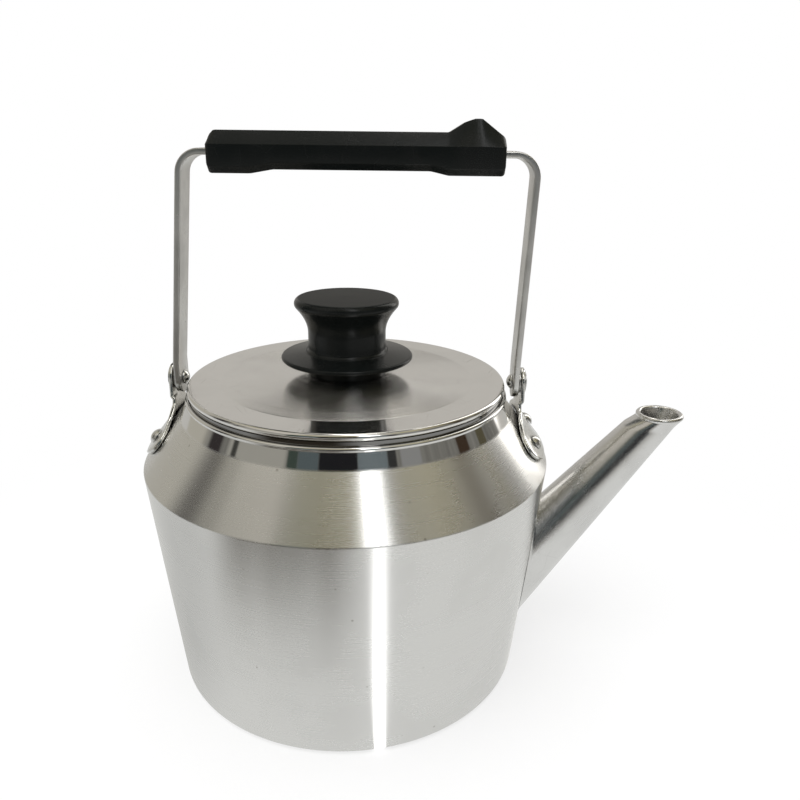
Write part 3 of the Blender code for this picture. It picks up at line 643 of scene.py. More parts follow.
class TurnedSheet(MeshTree):
    """Turns a profile, drawn as points in the XZ plane, about Z."""

    def __init__(self) -> None:
        """Builds the tree once, for every turned piece."""
        kinds = {"Profile": "NodeSocketGeometry", "Segments": "NodeSocketInt", "Weld": "NodeSocketFloat"}
        super().__init__("turned_sheet", kinds)
        graph, given = self.graph, self.given
        counted = graph.add("GeometryNodeAttributeDomainSize", {"Geometry": given["Profile"]})
        points = counted.outputs["Point Count"]
        columns = graph.math("ADD", given["Segments"], 1.0)
        inputs = {"Vertices X": columns, "Vertices Y": points}
        grid = graph.add("GeometryNodeMeshGrid", inputs).outputs["Mesh"]
        index = graph.add("GeometryNodeInputIndex").outputs["Index"]
        column = graph.math("FLOOR", graph.math("DIVIDE", graph.math("ADD", index, 0.5), points))
        row = graph.math("SUBTRACT", index, graph.math("MULTIPLY", column, points))
        inputs = {"Geometry": given["Profile"], "Index": row}
        sample = graph.add("GeometryNodeSampleIndex", inputs, data_type="FLOAT_VECTOR")
        graph.feed(sample.inputs["Value"], graph.add("GeometryNodeInputPosition").outputs["Position"])
        point = graph.parts(sample.outputs["Value"])
        angle = graph.math("MULTIPLY", graph.math("DIVIDE", column, given["Segments"]), math.tau)
        x = graph.math("MULTIPLY", point["X"], graph.math("COSINE", angle))
        y = graph.math("MULTIPLY", point["X"], graph.math("SINE", angle))
        place = graph.add("ShaderNodeCombineXYZ", {"X": x, "Y": y, "Z": point["Z"]}).outputs["Vector"]
        moved = graph.add("GeometryNodeSetPosition", {"Geometry": grid, "Position": place})
        inputs = {"Geometry": moved.outputs["Geometry"], "Distance": given["Weld"]}
        self.close(graph.add("GeometryNodeMergeByDistance", inputs).outputs["Geometry"])

    def turn(self, name: str, profile: list, segments: int, material: Material) -> Object:
        """Turns one profile.

        Args:
            name: The new object's name.
            profile: Points (r, z). A ring's first point comes again at its end.
            segments: Facets round a full turn.
            material: The finish that the sheet carries.

        Returns:
            The turned piece as a plain closed mesh.
        """
        mesh = bpy.data.meshes.new(name)
        edges = [(i, i + 1) for i in range(len(profile) - 1)]
        mesh.from_pydata([(r, 0.0, z) for r, z in profile], edges, [])
        obj = link(bpy.data.objects.new(name, mesh))
        self.apply(obj, {"Segments": segments, "Weld": WELD, "Finish": material})
        return obj


class SetOnPoints(MeshTree):
    """Sets one copy of a piece on each point, along the point's own direction."""

    def __init__(self) -> None:
        """Builds the tree once, for every repeated piece."""
        super().__init__("set_on_points", {"Points": "NodeSocketGeometry", "Piece": "NodeSocketObject"})
        graph, given = self.graph, self.given
        shape = graph.add("GeometryNodeObjectInfo", {"Object": given["Piece"]}).outputs["Geometry"]
        outward = graph.add("GeometryNodeInputNamedAttribute", {"Name": "outward"}, data_type="FLOAT_VECTOR")
        inputs = {"Vector": outward.outputs["Attribute"]}
        turn = graph.add("FunctionNodeAlignRotationToVector", inputs, axis="Z").outputs["Rotation"]
        inputs = {"Points": given["Points"], "Instance": shape, "Rotation": turn}
        self.close(graph.add("GeometryNodeInstanceOnPoints", inputs).outputs["Instances"])

    def place(self, name: str, piece: Object, places: list,
              material: Material) -> Object:
        """Sets copies of a piece.

        Args:
            name: The new object's name.
            piece: The piece that is copied, which is removed afterwards.
            places: Points and outward directions, one pair for each copy.
            material: The finish that the copies carry.

        Returns:
            All the copies as one plain mesh.
        """
        mesh = bpy.data.meshes.new(name)
        mesh.from_pydata([point for point, outward in places], [], [])
        attribute = mesh.attributes.new("outward", "FLOAT_VECTOR", "POINT")
        for item, (point, outward) in zip(attribute.data, places):
            item.vector = outward
        obj = link(bpy.data.objects.new(name, mesh))
        self.apply(obj, {"Piece": piece, "Finish": material})
        bpy.data.objects.remove(piece, do_unlink=True)
        return obj


def link(obj: Object) -> Object:
    """Puts an object into the scene and returns it."""
    bpy.context.scene.collection.objects.link(obj)
    return obj


def settle(obj: Object, shortest: float = 0.0) -> None:
    """Makes what an object's modifiers give its own mesh, with its faces outward.

    Args:
        obj: The object.
        shortest: Length up to which an edge is closed up.
    """
    graph = bpy.context.evaluated_depsgraph_get()
    mesh = bpy.data.meshes.new_from_object(obj.evaluated_get(graph))
    bm = bmesh.new()
    bm.from_mesh(mesh)
    if shortest:
        bmesh.ops.dissolve_degenerate(bm, dist=shortest, edges=bm.edges)
    bmesh.ops.recalc_face_normals(bm, faces=bm.faces)
    bm.to_mesh(mesh)
    bm.free()
    obj.modifiers.clear()
    obj.data = mesh


def from_bmesh(name: str, bm: BMesh) -> Object:
    """Makes an object from a bmesh in frame coordinates, with its faces outward."""
    bmesh.ops.recalc_face_normals(bm, faces=bm.faces)
    mesh = bpy.data.meshes.new(name)
    bm.to_mesh(mesh)
    bm.free()
    return link(bpy.data.objects.new(name, mesh))


def cut(obj: Object, cutters: list, shortest: float = SHORT_EDGE) -> None:
    """Subtracts closed bmeshes, which don't touch each other, from an object.

    Args:
        obj: The object.
        cutters: The bmeshes, which are freed.
        shortest: Length up to which an edge that the cut leaves is closed up.
    """
    together = bmesh.new()
    for cutter in cutters:
        mesh = bpy.data.meshes.new("cutter")
        cutter.to_mesh(mesh)
        cutter.free()
        together.from_mesh(mesh)
        bpy.data.meshes.remove(mesh)
    tool = from_bmesh("cutter", together)
    modifier = obj.modifiers.new("cut", "BOOLEAN")
    modifier.operation = "DIFFERENCE"
    modifier.solver = "EXACT"
    modifier.object = tool
    settle(obj, shortest)
    bpy.data.objects.remove(tool, do_unlink=True)


def complete(obj: Object, body: Body, nodes: list, material: Material,
             sharp: float = SHARP) -> None:
    """Finishes a piece: its shading, its material, the body it moves with, and the CAD nodes that it hides.

    Args:
        obj: The piece, in place.
        body: The body it moves with.
        nodes: The CAD nodes that it stands for.
        material: Its finish.
        sharp: Angle in degrees over which an edge is drawn sharp.
    """
    mesh = obj.data
    mesh.shade_smooth()
    mesh.set_sharp_from_angle(angle=math.radians(sharp))
    mesh.materials.clear()
    mesh.materials.append(material)
    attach(obj, body.value)
    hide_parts(*nodes)
    log.info("%s: %d faces, replaces %s", obj.name, len(mesh.polygons), ", ".join(nodes))


def arc(centre: tuple, radius: float, start: float, end: float, steps: int) -> list:
    """Returns points (r, z) on an arc, angles in degrees from +r towards +z, both ends included."""
    points = []
    for i in range(steps + 1):
        angle = math.radians(start + (end - start) * i / steps)
        points.append((centre[0] + radius * math.cos(angle), centre[1] + radius * math.sin(angle)))
    return points


def rounded(before: tuple, corner: tuple, after: tuple, radius: float, steps: int = 6) -> list:
    """Returns the points (r, z) that round a corner of a profile.

    Args:
        before: The profile's point before the corner.
        corner: The sharp corner.
        after: The profile's point after the corner.
        radius: Radius of the rounding.
        steps: Straight pieces along it.
    """
    corner = Vector(corner)
    to_before = (Vector(before) - corner).normalized()
    to_after = (Vector(after) - corner).normalized()
    half = to_before.angle(to_after) / 2
    centre = corner + (to_before + to_after).normalized() * radius / math.sin(half)
    first = corner + to_before * radius / math.tan(half)
    last = corner + to_after * radius / math.tan(half)
    start = math.degrees(math.atan2(first.y - centre.y, first.x - centre.x))
    sweep = math.degrees(math.atan2(last.y - centre.y, last.x - centre.x)) - start
    sweep = (sweep + HALF_TURN) % (2 * HALF_TURN) - HALF_TURN
    return arc(centre, radius, start, start + sweep, steps)


def smoothed(corners: list, radius: float, steps: int = 3) -> list:
    """Returns a closed outline with every corner rounded alike."""
    points = []
    for i, corner in enumerate(corners):
        points += rounded(corners[i - 1], corner, corners[(i + 1) % len(corners)], radius, steps)
    return points


def washer_outline(bore: float, radius: float, foot: float, top: float, edge_round: float) -> list:
    """Returns the outline (r, z) of a flat ring with rounded edges, its first point again at the end."""
    points = smoothed([(bore, foot), (radius, foot), (radius, top), (bore, top)], edge_round)
    return points + points[:1]


def quarter_turn(steps: int) -> list:
    """Returns the cosine and sine of evenly spaced angles from 0 to 90 degrees, both included."""
    angles = [math.pi / 2 * i / steps for i in range(steps + 1)]
    return [(math.cos(angle), math.sin(angle)) for angle in angles]


def supported(profile: list, reach: float = 0.0004, longest: float = 0.0060) -> list:
    """Adds points to the long straights of a profile, so that their shading stays flat.

    Args:
        profile: Points (r, z).
        reach: Distance of the first and last added point from the straight's ends.
        longest: The longest straight that is left whole between added points.

    Returns:
        The profile with the added points.
    """
    points = [profile[0]]
    for start, end in zip(profile, profile[1:]):
        start, end = Vector(start), Vector(end)
        length = (end - start).length
        if length > 3 * reach:
            inner = length - 2 * reach
            pieces = max(1, math.ceil(inner / longest))
            shares = [(reach + inner * i / pieces) / length for i in range(pieces + 1)]
            points += [tuple(start.lerp(end, share)) for share in shares]
        points.append(tuple(end))
    return points


def turned_bmesh(profile: list, segments: int) -> BMesh:
    """Turns points (r, z), whose two ends are on the axis, about Z."""
    bm = bmesh.new()
    rings = []
    for r, z in profile:
        count = 1 if r == 0 else segments
        angles = [math.tau * i / segments for i in range(count)]
        rings.append([bm.verts.new((r * math.cos(a), r * math.sin(a), z)) for a in angles])
    for lower, upper in zip(rings, rings[1:]):
        for i in range(segments):
            j = (i + 1) % segments
            corners = [ring[k % len(ring)] for ring, k in ((lower, i), (lower, j), (upper, j), (upper, i))]
            bm.faces.new([v for k, v in enumerate(corners) if v not in corners[:k]])
    return bm


def rod(radius: float, start: Vector, end: Vector) -> BMesh:
    """Makes a cylinder between two points."""
    length = (end - start).length
    bm = turned_bmesh([(0, 0), (radius, 0), (radius, length), (0, length)], SMALL_TURNED)
    turn = (end - start).to_track_quat("Z", "Y").to_matrix().to_4x4()
    bm.transform(Matrix.Translation(start) @ turn)
    return bm


def weave(bm: BMesh, rows: list, closed: bool = True) -> None:
    """Joins rows of equally many vertices with quads, round each row if the rows are closed."""
    for lower, upper in zip(rows, rows[1:]):
        for i in range(len(lower) if closed else len(lower) - 1):
            j = (i + 1) % len(lower)
            bm.faces.new([lower[i], lower[j], upper[j], upper[i]])


def loft(rings: list) -> BMesh:
    """Joins rings of equally many points with quads, and closes both ends."""
    bm = bmesh.new()
    rows = [[bm.verts.new(point) for point in ring] for ring in rings]
    weave(bm, rows)
    bm.faces.new(rows[0])
    bm.faces.new(rows[-1])
    return bm


def dome(radius: float, height: float, base: float, edge: float = 0.00025, steps: int = 7) -> list:
    """Returns the points (r, z) of a domed head with a short upright edge, from its rim to its crown."""
    rise = height - edge
    curve = (radius**2 + rise**2) / (2 * rise)
    half = math.asin(min(1.0, radius / curve))
    points = [(radius, base)]
    for i in range(steps):
        angle = half * (1 - i / steps)
        points.append((curve * math.sin(angle), base + height - curve * (1 - math.cos(angle))))
    points.append((0, base + height))
    return points


@dataclass(frozen=True)
class Shell:
    """The body: one spun sheet from the base over the ridge and the shoulder to the rolled lip."""

    base_corner: float = 0.0024
    height: float = 0.1120
    taper: float = 0.0113
    shoulder_run: float = 0.0188
    shoulder_rise: float = 0.0238
    neck_radius: float = 0.0772
    neck_taper: float = 0.0040
    neck_height: float = 0.0067
    wall: float = 0.0012
    lip_bead: float = 0.0012
    lip_arc: tuple = (-60, 150, 16)
    ridge_fillet: float = 0.0010
    ridge_steps: int = 8
    foot_steps: int = 6
    inner_steps: int = 5

    @property
    def foot_radius(self) -> float:
        """Radius where the neck meets the shoulder."""
        return self.neck_radius + self.neck_taper

    @property
    def ridge_radius(self) -> float:
        """Radius of the ridge, the widest part."""
        return self.foot_radius + self.shoulder_run

    @property
    def base_radius(self) -> float:
        """Radius of the wall at the base."""
        return self.ridge_radius - self.taper

    @property
    def slope(self) -> float:
        """How much the wall's radius grows with height."""
        return self.taper / self.height

    @property
    def shoulder_slope(self) -> float:
        """How much the shoulder rises with each step inward."""
        return self.shoulder_rise / self.shoulder_run

    @property
    def shoulder_top(self) -> float:
        """Height of the shoulder's top."""
        return self.height + self.shoulder_rise

    @property
    def lip_centre(self) -> tuple:
        """Centre (r, z) of the lip's bead."""
        radius = self.neck_radius - self.wall / 2 + self.lip_bead / 2
        return radius, self.shoulder_top + self.neck_height + self.lip_bead

    @property
    def shoulder_normal(self) -> Vector:
        """Outward direction of the shoulder, at the side of +X."""
        return Vector((self.shoulder_rise, 0, self.shoulder_run)).normalized()

    @property
    def shoulder_up(self) -> Vector:
        """Direction up the shoulder, at the side of +X."""
        return Vector((-self.shoulder_run, 0, self.shoulder_rise)).normalized()

    def wall_radius(self, z: float) -> float:
        """Returns the outer radius of the wall at a height."""
        return self.base_radius + self.slope * z

    def shoulder_height(self, radius: float) -> float:
        """Returns the height of the shoulder at a radius."""
        return self.height + (self.ridge_radius - radius) * self.shoulder_slope

    def profile(self) -> list:
        """Returns the sheet's outline, outside and back down inside, from axis to axis."""
        corner = (self.base_radius, 0)
        ridge = (self.ridge_radius, self.height)
        foot = (self.foot_radius, self.shoulder_top)
        joint = (self.neck_radius, self.lip_centre[1] - self.lip_bead)
        inset = math.hypot(1, self.slope) * self.wall
        drop = math.hypot(1, self.shoulder_slope) * self.wall
        inner_foot_radius = self.foot_radius - self.wall
        inner_foot = (inner_foot_radius, self.shoulder_height(inner_foot_radius) - drop)
        inner_corner = (self.wall_radius(self.wall) - inset, self.wall)
        across = (inset + self.slope * drop) / (1 + self.slope * self.shoulder_slope)
        inner_ridge = (self.ridge_radius - across, self.height + self.shoulder_slope * across - drop)
        points = [(0, 0)]
        points += rounded((0, 0), corner, ridge, self.base_corner, self.ridge_steps)
        points += rounded(corner, ridge, foot, self.ridge_fillet, self.ridge_steps)
        points += rounded(ridge, foot, joint, self.ridge_fillet, self.foot_steps)
        points += arc(self.lip_centre, self.lip_bead, *self.lip_arc)
        points.append((self.neck_radius - self.wall, self.lip_centre[1]))
        points += [inner_foot, inner_ridge]
        middle, inner_radius = (0, self.wall), self.base_corner - self.wall
        points += rounded(inner_ridge, inner_corner, middle, inner_radius, self.inner_steps)
        return supported(points + [middle])


@dataclass(frozen=True)
class Spout:
    """The spout: a straight cone with a flared root and a rolled, level mouth."""

    shell: Shell
    root_height: float = 0.0532
    length: float = 0.1009
    lean: float = math.radians(51.8)
    taper: float = math.radians(4.5)
    wall: float = 0.0012
    top_radius: float = 0.0094
    mouth_radius: float = 0.0102
    bead: float = 0.0013
    bead_arc: tuple = (-60, 181, 15)
    collar: float = 0.0050
    root_fillet: float = 0.0016
    root_steps: int = 6
    outer_shares: tuple = (0.02, 0.1, 0.3, 0.5, 0.7, 0.9, 0.98, 1.0)
    inner_shares: tuple = (0.0, 0.1, 0.4, 0.7, 1.0)
    hole_radius: float = 0.0028
    hole_pitch: float = 0.0088
    sides: int = 128

    @property
    def mouth(self) -> Vector:
        """Centre of the mouth's rim."""
        root = Vector((self.shell.wall_radius(self.root_height), 0, self.root_height))
        return root + Vector((math.cos(self.lean), 0, math.sin(self.lean))) * self.length

    def line(self, turn: float, top_radius: float) -> tuple:
        """Returns a point beside the mouth's centre on the cone, and the direction down the cone there."""
        axis = Vector((math.cos(self.lean), 0, math.sin(self.lean)))
        across = Vector((-math.sin(self.lean), 0, math.cos(self.lean)))
        outward = across * math.cos(turn) + Vector((0, 1, 0)) * math.sin(turn)
        down = (-axis * math.cos(self.taper) + outward * math.sin(self.taper)).normalized()
        return self.mouth + outward * top_radius, down

    def meet_wall(self, line: tuple, gap: float) -> Vector:
        """Returns where a line down the spout first comes within a gap of the body's wall."""
        point, down = line
        slope = self.shell.slope
        radius = self.shell.base_radius + gap * math.hypot(1, slope) + slope * point.z
        a = down.x**2 + down.y**2 - (slope * down.z) ** 2
        b = 2 * (point.x * down.x + point.y * down.y - radius * slope * down.z)
        c = point.x**2 + point.y**2 - radius**2
        root = math.sqrt(b * b - 4 * a * c)
        return point + down * min(d for d in ((-b - root) / (2 * a), (-b + root) / (2 * a)) if d > 0)

    def section(self, turn: float) -> list:
        """Returns one lengthwise section of the wall, a closed loop from the root up and back down."""
        mouth = self.mouth
        outer = self.line(turn, self.top_radius)
        inner = self.line(turn, self.top_radius - self.wall)
        rim_z = mouth.z - self.collar
        collar = outer[0] + outer[1] * ((rim_z - outer[0].z) / outer[1].z)
        inner_collar = inner[0] + inner[1] * ((rim_z - inner[0].z) / inner[1].z)
        over = self.meet_wall(outer, GAP + self.root_fillet)
        corner = self.meet_wall(outer, GAP)
        flare = self.meet_wall(self.line(turn, self.top_radius + self.root_fillet), GAP)
        inner_root = self.meet_wall(inner, GAP)
        points = []
        for i in range(self.root_steps + 1):
            t = i / self.root_steps
            points.append(flare * (1 - t) ** 2 + corner * 2 * t * (1 - t) + over * t**2)
        points += [over.lerp(collar, share) for share in self.outer_shares]
        outward = Vector((-math.cos(turn), math.sin(turn), 0))
        for degrees in range(*self.bead_arc):
            angle = math.radians(degrees)
            reach = self.mouth_radius + self.bead * math.cos(angle)
            points.append(mouth + outward * reach + Vector((0, 0, self.bead * math.sin(angle))))
        return points + [inner_collar.lerp(inner_root, share) for share in self.inner_shares]

    def build(self) -> Object:
        """Makes the spout's shell."""
        bm = bmesh.new()
        turns = [math.tau * k / self.sides for k in range(self.sides)]
        rows = [[bm.verts.new(point) for point in self.section(turn)] for turn in turns]
        weave(bm, rows + rows[:1])
        return from_bmesh("spout_shell", bm)

    def strainer(self) -> list:
        """Returns the cutters of the strainer holes in the wall behind the spout."""
        bore = self.top_radius - self.wall
        upper = self.meet_wall(self.line(0, bore), GAP)
        lower = self.meet_wall(self.line(math.pi, bore), GAP)
        rows = int((upper.z - lower.z) / 2 / self.hole_pitch) - 1
        cutters = []
        for row in range(-rows, rows + 1):
            z = (upper.z + lower.z) / 2 + row * self.hole_pitch * math.sin(math.pi / 3)
            in_row = 3 if row % 2 == 0 else 2
            for k in range(in_row):
                y = (k - (in_row - 1) / 2) * self.hole_pitch
                x = math.sqrt(self.shell.wall_radius(z) ** 2 - y**2)
                start = Vector((x - 4 * self.shell.wall, y, z))
                end = Vector((x + 2 * self.shell.wall, y, z))
                cutters.append(rod(self.hole_radius, start, end))
        return cutters


@dataclass(frozen=True)
class Lid:
    """The lid: one sheet with a rolled rim, a flat band, a low cone and a skirt in the neck."""

    shell: Shell
    sheet: float = 0.0010
    rim_bead: float = 0.0017
    overhang: float = 0.0008
    groove: float = 0.0018
    foot_inset: float = 0.0007
    skirt_depth: float = 0.0080
    skirt_play: float = 0.0006
    band_width: float = 0.0155
    cone_rise: float = 0.0024
    flat_radius: float = 0.0210
    crease: float = 0.0009
    rim_arc: tuple = (90, -80, 18)
    hem_arc: tuple = (0, -180, 6)

    @property
    def foot_radius(self) -> float:
        """Radius of the groove under the rim."""
        return self.shell.lip_centre[0] - self.foot_inset

    @property
    def rim_radius(self) -> float:
        """Outer radius of the rim."""
        return self.foot_radius + self.overhang

    @property
    def seat(self) -> float:
        """Height at which the lid sits on the lip."""
        bead = self.shell.lip_bead
        return self.shell.lip_centre[1] + math.sqrt(bead**2 - self.foot_inset**2) + GAP

    @property
    def band(self) -> float:
        """Height of the flat band, the rim's top."""
        return self.seat + self.groove + 2 * self.rim_bead

    @property
    def top(self) -> float:
        """Height of the flat under the knob."""
        return self.band + self.cone_rise

    def profile(self, bore: float) -> list:
        """Returns the lid's outline as a ring, for a screw hole of the given radius."""
        skirt = self.shell.neck_radius - self.shell.wall - self.skirt_play
        inner = skirt - self.sheet
        bottom = self.seat - self.skirt_depth
        band_inner = self.rim_radius - self.band_width
        under = self.band - self.sheet
        bead = (self.rim_radius - self.rim_bead, self.band - self.rim_bead)
        flat_edge, cone_foot = (self.flat_radius, self.top), (band_inner, self.band)
        points = [(bore, self.top)]
        points += rounded(points[0], flat_edge, cone_foot, self.crease)
        points += rounded(flat_edge, cone_foot, (bead[0], self.band), self.crease)
        points += arc(bead, self.rim_bead, *self.rim_arc)
        foot = self.foot_radius
        points += [(foot, self.seat + self.groove), (foot, self.seat), (skirt, self.seat)]
        points += arc((skirt - self.sheet / 2, bottom + self.sheet / 2), self.sheet / 2, *self.hem_arc)
        points += [(inner, under), (band_inner, under), (self.flat_radius, self.top - self.sheet)]
        points += [(bore, self.top - self.sheet), (bore, self.top)]
        return supported(points)


@dataclass(frozen=True)
class Knob:
    """The knob: a moulding with a pedestal, a thin flange, a waist and a flaring top."""

    foot: float
    top_radius: float = 0.0251
    waist_radius: float = 0.0188
    flange_radius: float = 0.0320
    pedestal_radius: float = 0.0190
    pedestal_height: float = 0.0072
    height: float = 0.0377
    rim_depth: float = 0.0032
    rim_round: float = 0.0028
    flange_edge: float = 0.0011
    flange_slope: float = 0.0016
    waist_foot: float = 0.0046
    collar: float = 0.0011
    waist_height: float = 0.0084
    foot_round: float = 0.0005
    flange_round: float = 0.0006
    collar_round: float = 0.0010
    waist_round: float = 0.0015
    flare_power: float = 2.0
    foot_steps: int = 4
    waist_steps: int = 5
    flare_steps: int = 16
    flange_arc: tuple = (-80, 80, 10)
    rim_arc: tuple = (-42, 80, 14)

    def profile(self, bore: float, bore_top: float) -> list:
        """Returns the knob's outline from axis to axis, round the bore of its insert."""
        under = self.foot + self.pedestal_height
        flange_top = under + 2 * self.flange_edge
        waist_foot = under + self.waist_foot
        waist_top = waist_foot + self.waist_height
        top = self.foot + self.height
        widest = top - self.rim_depth
        rim = (self.top_radius - self.rim_round, widest)
        rim_points = arc(rim, self.rim_round, *self.rim_arc)
        flare_radius, flare_top = rim_points[0]
        edge = (self.flange_radius - self.flange_edge, under + self.flange_edge)
        collar_radius = self.waist_radius + self.collar
        flange_foot = (collar_radius, flange_top + self.flange_slope)
        collar_top = (collar_radius, waist_foot - self.collar / 2)
        waist = (self.waist_radius, waist_foot + self.collar / 2)
        edge_top = (edge[0], flange_top)
        pedestal, pedestal_top = (self.pedestal_radius, self.foot), (self.pedestal_radius, under)
        points = [(0, bore_top), (bore, bore_top), (bore, self.foot)]
        points += rounded((bore, self.foot), pedestal, pedestal_top, self.foot_round, self.foot_steps)
        points += rounded(pedestal, pedestal_top, edge, self.foot_round, self.foot_steps)
        points += arc(edge, self.flange_edge, *self.flange_arc)
        points += rounded(edge_top, flange_foot, collar_top, self.flange_round, self.foot_steps)
        points += rounded(flange_foot, collar_top, waist, self.collar_round, self.waist_steps)
        above = (self.waist_radius, waist_top)
        points += rounded(collar_top, waist, above, self.waist_round, self.waist_steps)
        for i in range(self.flare_steps):
            t = i / self.flare_steps
            radius = self.waist_radius + (flare_radius - self.waist_radius) * t**self.flare_power
            points.append((radius, waist_top + (flare_top - waist_top) * t))
        return supported(points + rim_points + [(0, top)])


@dataclass(frozen=True)
class KnobFixings:
    """The insert moulded into the knob, and the screw and washer below the lid."""

    lid: Lid
    insert_radius: float = 0.0042
    insert_length: float = 0.0150
    groove_depth: float = 0.0006
    groove_width: float = 0.0020
    screw_radius: float = 0.0020
    head_radius: float = 0.0042
    head_height: float = 0.0022
    washer_radius: float = 0.0062
    washer_thickness: float = 0.0008
    recess_width: float = 0.0008
    recess_length: float = 0.0044
    recess_depth: float = 0.0011
    recess_lip: float = 0.0003
    recess_taper: float = 0.55
    edge_round: float = 0.0002

    @property
    def knob_foot(self) -> float:
        """Height of the knob's foot."""
        return self.lid.top + GAP

    @property
    def bore(self) -> float:
        """Radius of the holes that the screw passes through."""
        return self.screw_radius + GAP

    @property
    def insert_top(self) -> float:
        """Height of the insert's top."""
        return self.knob_foot + self.insert_length

    @property
    def washer_foot(self) -> float:
        """Height of the washer's lower face."""
        return self.lid.top - self.lid.sheet - GAP - self.washer_thickness

    def insert(self) -> list:
        """Returns the insert's outline as a ring, with the groove that keys it into the knob."""
        foot = self.lid.top + 2 * GAP
        middle = (foot + self.insert_top) / 2
        waist = self.insert_radius - self.groove_depth
        low, high = middle - self.groove_width / 2, middle + self.groove_width / 2
        corners = [(self.bore, foot), (self.insert_radius, foot), (self.insert_radius, low), (waist, low)]
        corners += [(waist, high), (self.insert_radius, high)]
        corners += [(self.insert_radius, self.insert_top), (self.bore, self.insert_top)]
        points = smoothed(corners, self.edge_round)
        return supported(points + points[:1])

    def washer(self) -> list:
        """Returns the washer's outline as a ring."""
        foot, top = self.washer_foot, self.washer_foot + self.washer_thickness
        return supported(washer_outline(self.bore, self.washer_radius, foot, top, self.edge_round))

    def screw(self) -> list:
        """Returns the screw's outline, head down, from axis to axis."""
        head_top = self.washer_foot - GAP
        end = self.insert_top - GAP
        points = [(r, -z) for r, z in dome(self.head_radius, self.head_height, -head_top)][::-1]
        points += [(self.screw_radius, head_top), (self.screw_radius, end - self.edge_round)]
        return points + [(self.screw_radius - self.edge_round, end), (0, end)]

    def recess(self) -> BMesh:
        """Returns the cutter of the screw's cross recess, which narrows as it goes in."""
        arm, half = self.recess_length / 2, self.recess_width / 2
        plus = []
        for k in range(4):
            turn = Matrix.Rotation(math.pi / 2 * k, 2)
            plus += [turn @ Vector(p) for p in ((arm, -half), (arm, half), (half, half))]
        low = self.washer_foot - GAP - self.head_height
        levels = [(low - CUT_MARGIN, 1.0), (low + self.recess_lip, 1.0)]
        levels.append((low + self.recess_depth, self.recess_taper))
        return loft([[(p.x * share, p.y * share, z) for p in plus] for z, share in levels])


@dataclass(frozen=True)
class Pivot:
    """Each rivet that the bail turns on, with the washer between strap and lug."""

    lid: Lid
    radius: float = 0.0025
    head_radius: float = 0.0036
    head_height: float = 0.0022
    outer_radius: float = 0.0056
    outer_height: float = 0.0013
    washer_radius: float = 0.0058
    washer_thickness: float = 0.0006
    rim_to_rivet: float = 0.0014
    washer_round: float = 0.00015
    strap_thickness: float = 0.0030
    lug_thickness: float = 0.0018

    @property
    def strap_inner(self) -> float:
        """How far out the strap's inner face is."""
        return self.lid.rim_radius + self.rim_to_rivet + self.head_height + GAP

    @property
    def strap(self) -> float:
        """How far out the strap's middle is."""
        return self.strap_inner + self.strap_thickness / 2

    @property
    def washer_inner(self) -> float:
        """How far out the washer's inner face is."""
        return self.strap_inner + self.strap_thickness + GAP

    @property
    def lug_inner(self) -> float:
        """How far out the lug's inner face is."""
        return self.washer_inner + self.washer_thickness + GAP

    @property
    def lug(self) -> float:
        """How far out the lug's middle is."""
        return self.lug_inner + self.lug_thickness / 2

    @property
    def lug_outer(self) -> float:
        """How far out the lug's outer face is."""
        return self.lug_inner + self.lug_thickness

    def rivet(self) -> list:
        """Returns the rivet's outline from axis to axis, outward along Z."""
        inner = self.strap_inner - GAP
        outer = self.lug_outer + GAP
        points = [(r, -z) for r, z in dome(self.head_radius, self.head_height, -inner)][::-1]
        points += [(self.radius, inner), (self.radius, outer)]
        return points + dome(self.outer_radius, self.outer_height, outer)

    def washer(self) -> list:
        """Returns the washer's outline as a ring."""
        start, end = self.washer_inner, self.washer_inner + self.washer_thickness
        return washer_outline(self.radius + GAP, self.washer_radius, start, end, self.washer_round)

    def hole(self, side: int, play: float) -> BMesh:
        """Returns the cutter of the pivot's hole on one side."""
        start = Vector((side * (self.strap_inner - CUT_MARGIN), 0, PIVOT_Z))
        end = Vector((side * (self.lug_outer + CUT_MARGIN), 0, PIVOT_Z))
        return rod(self.radius + play, start, end)

    def places(self) -> list:
        """Returns the two places of the pivots, on the bail's axis."""
        return [(Vector((0, 0, PIVOT_Z)), Vector((side, 0, 0))) for side in (-1, 1)]


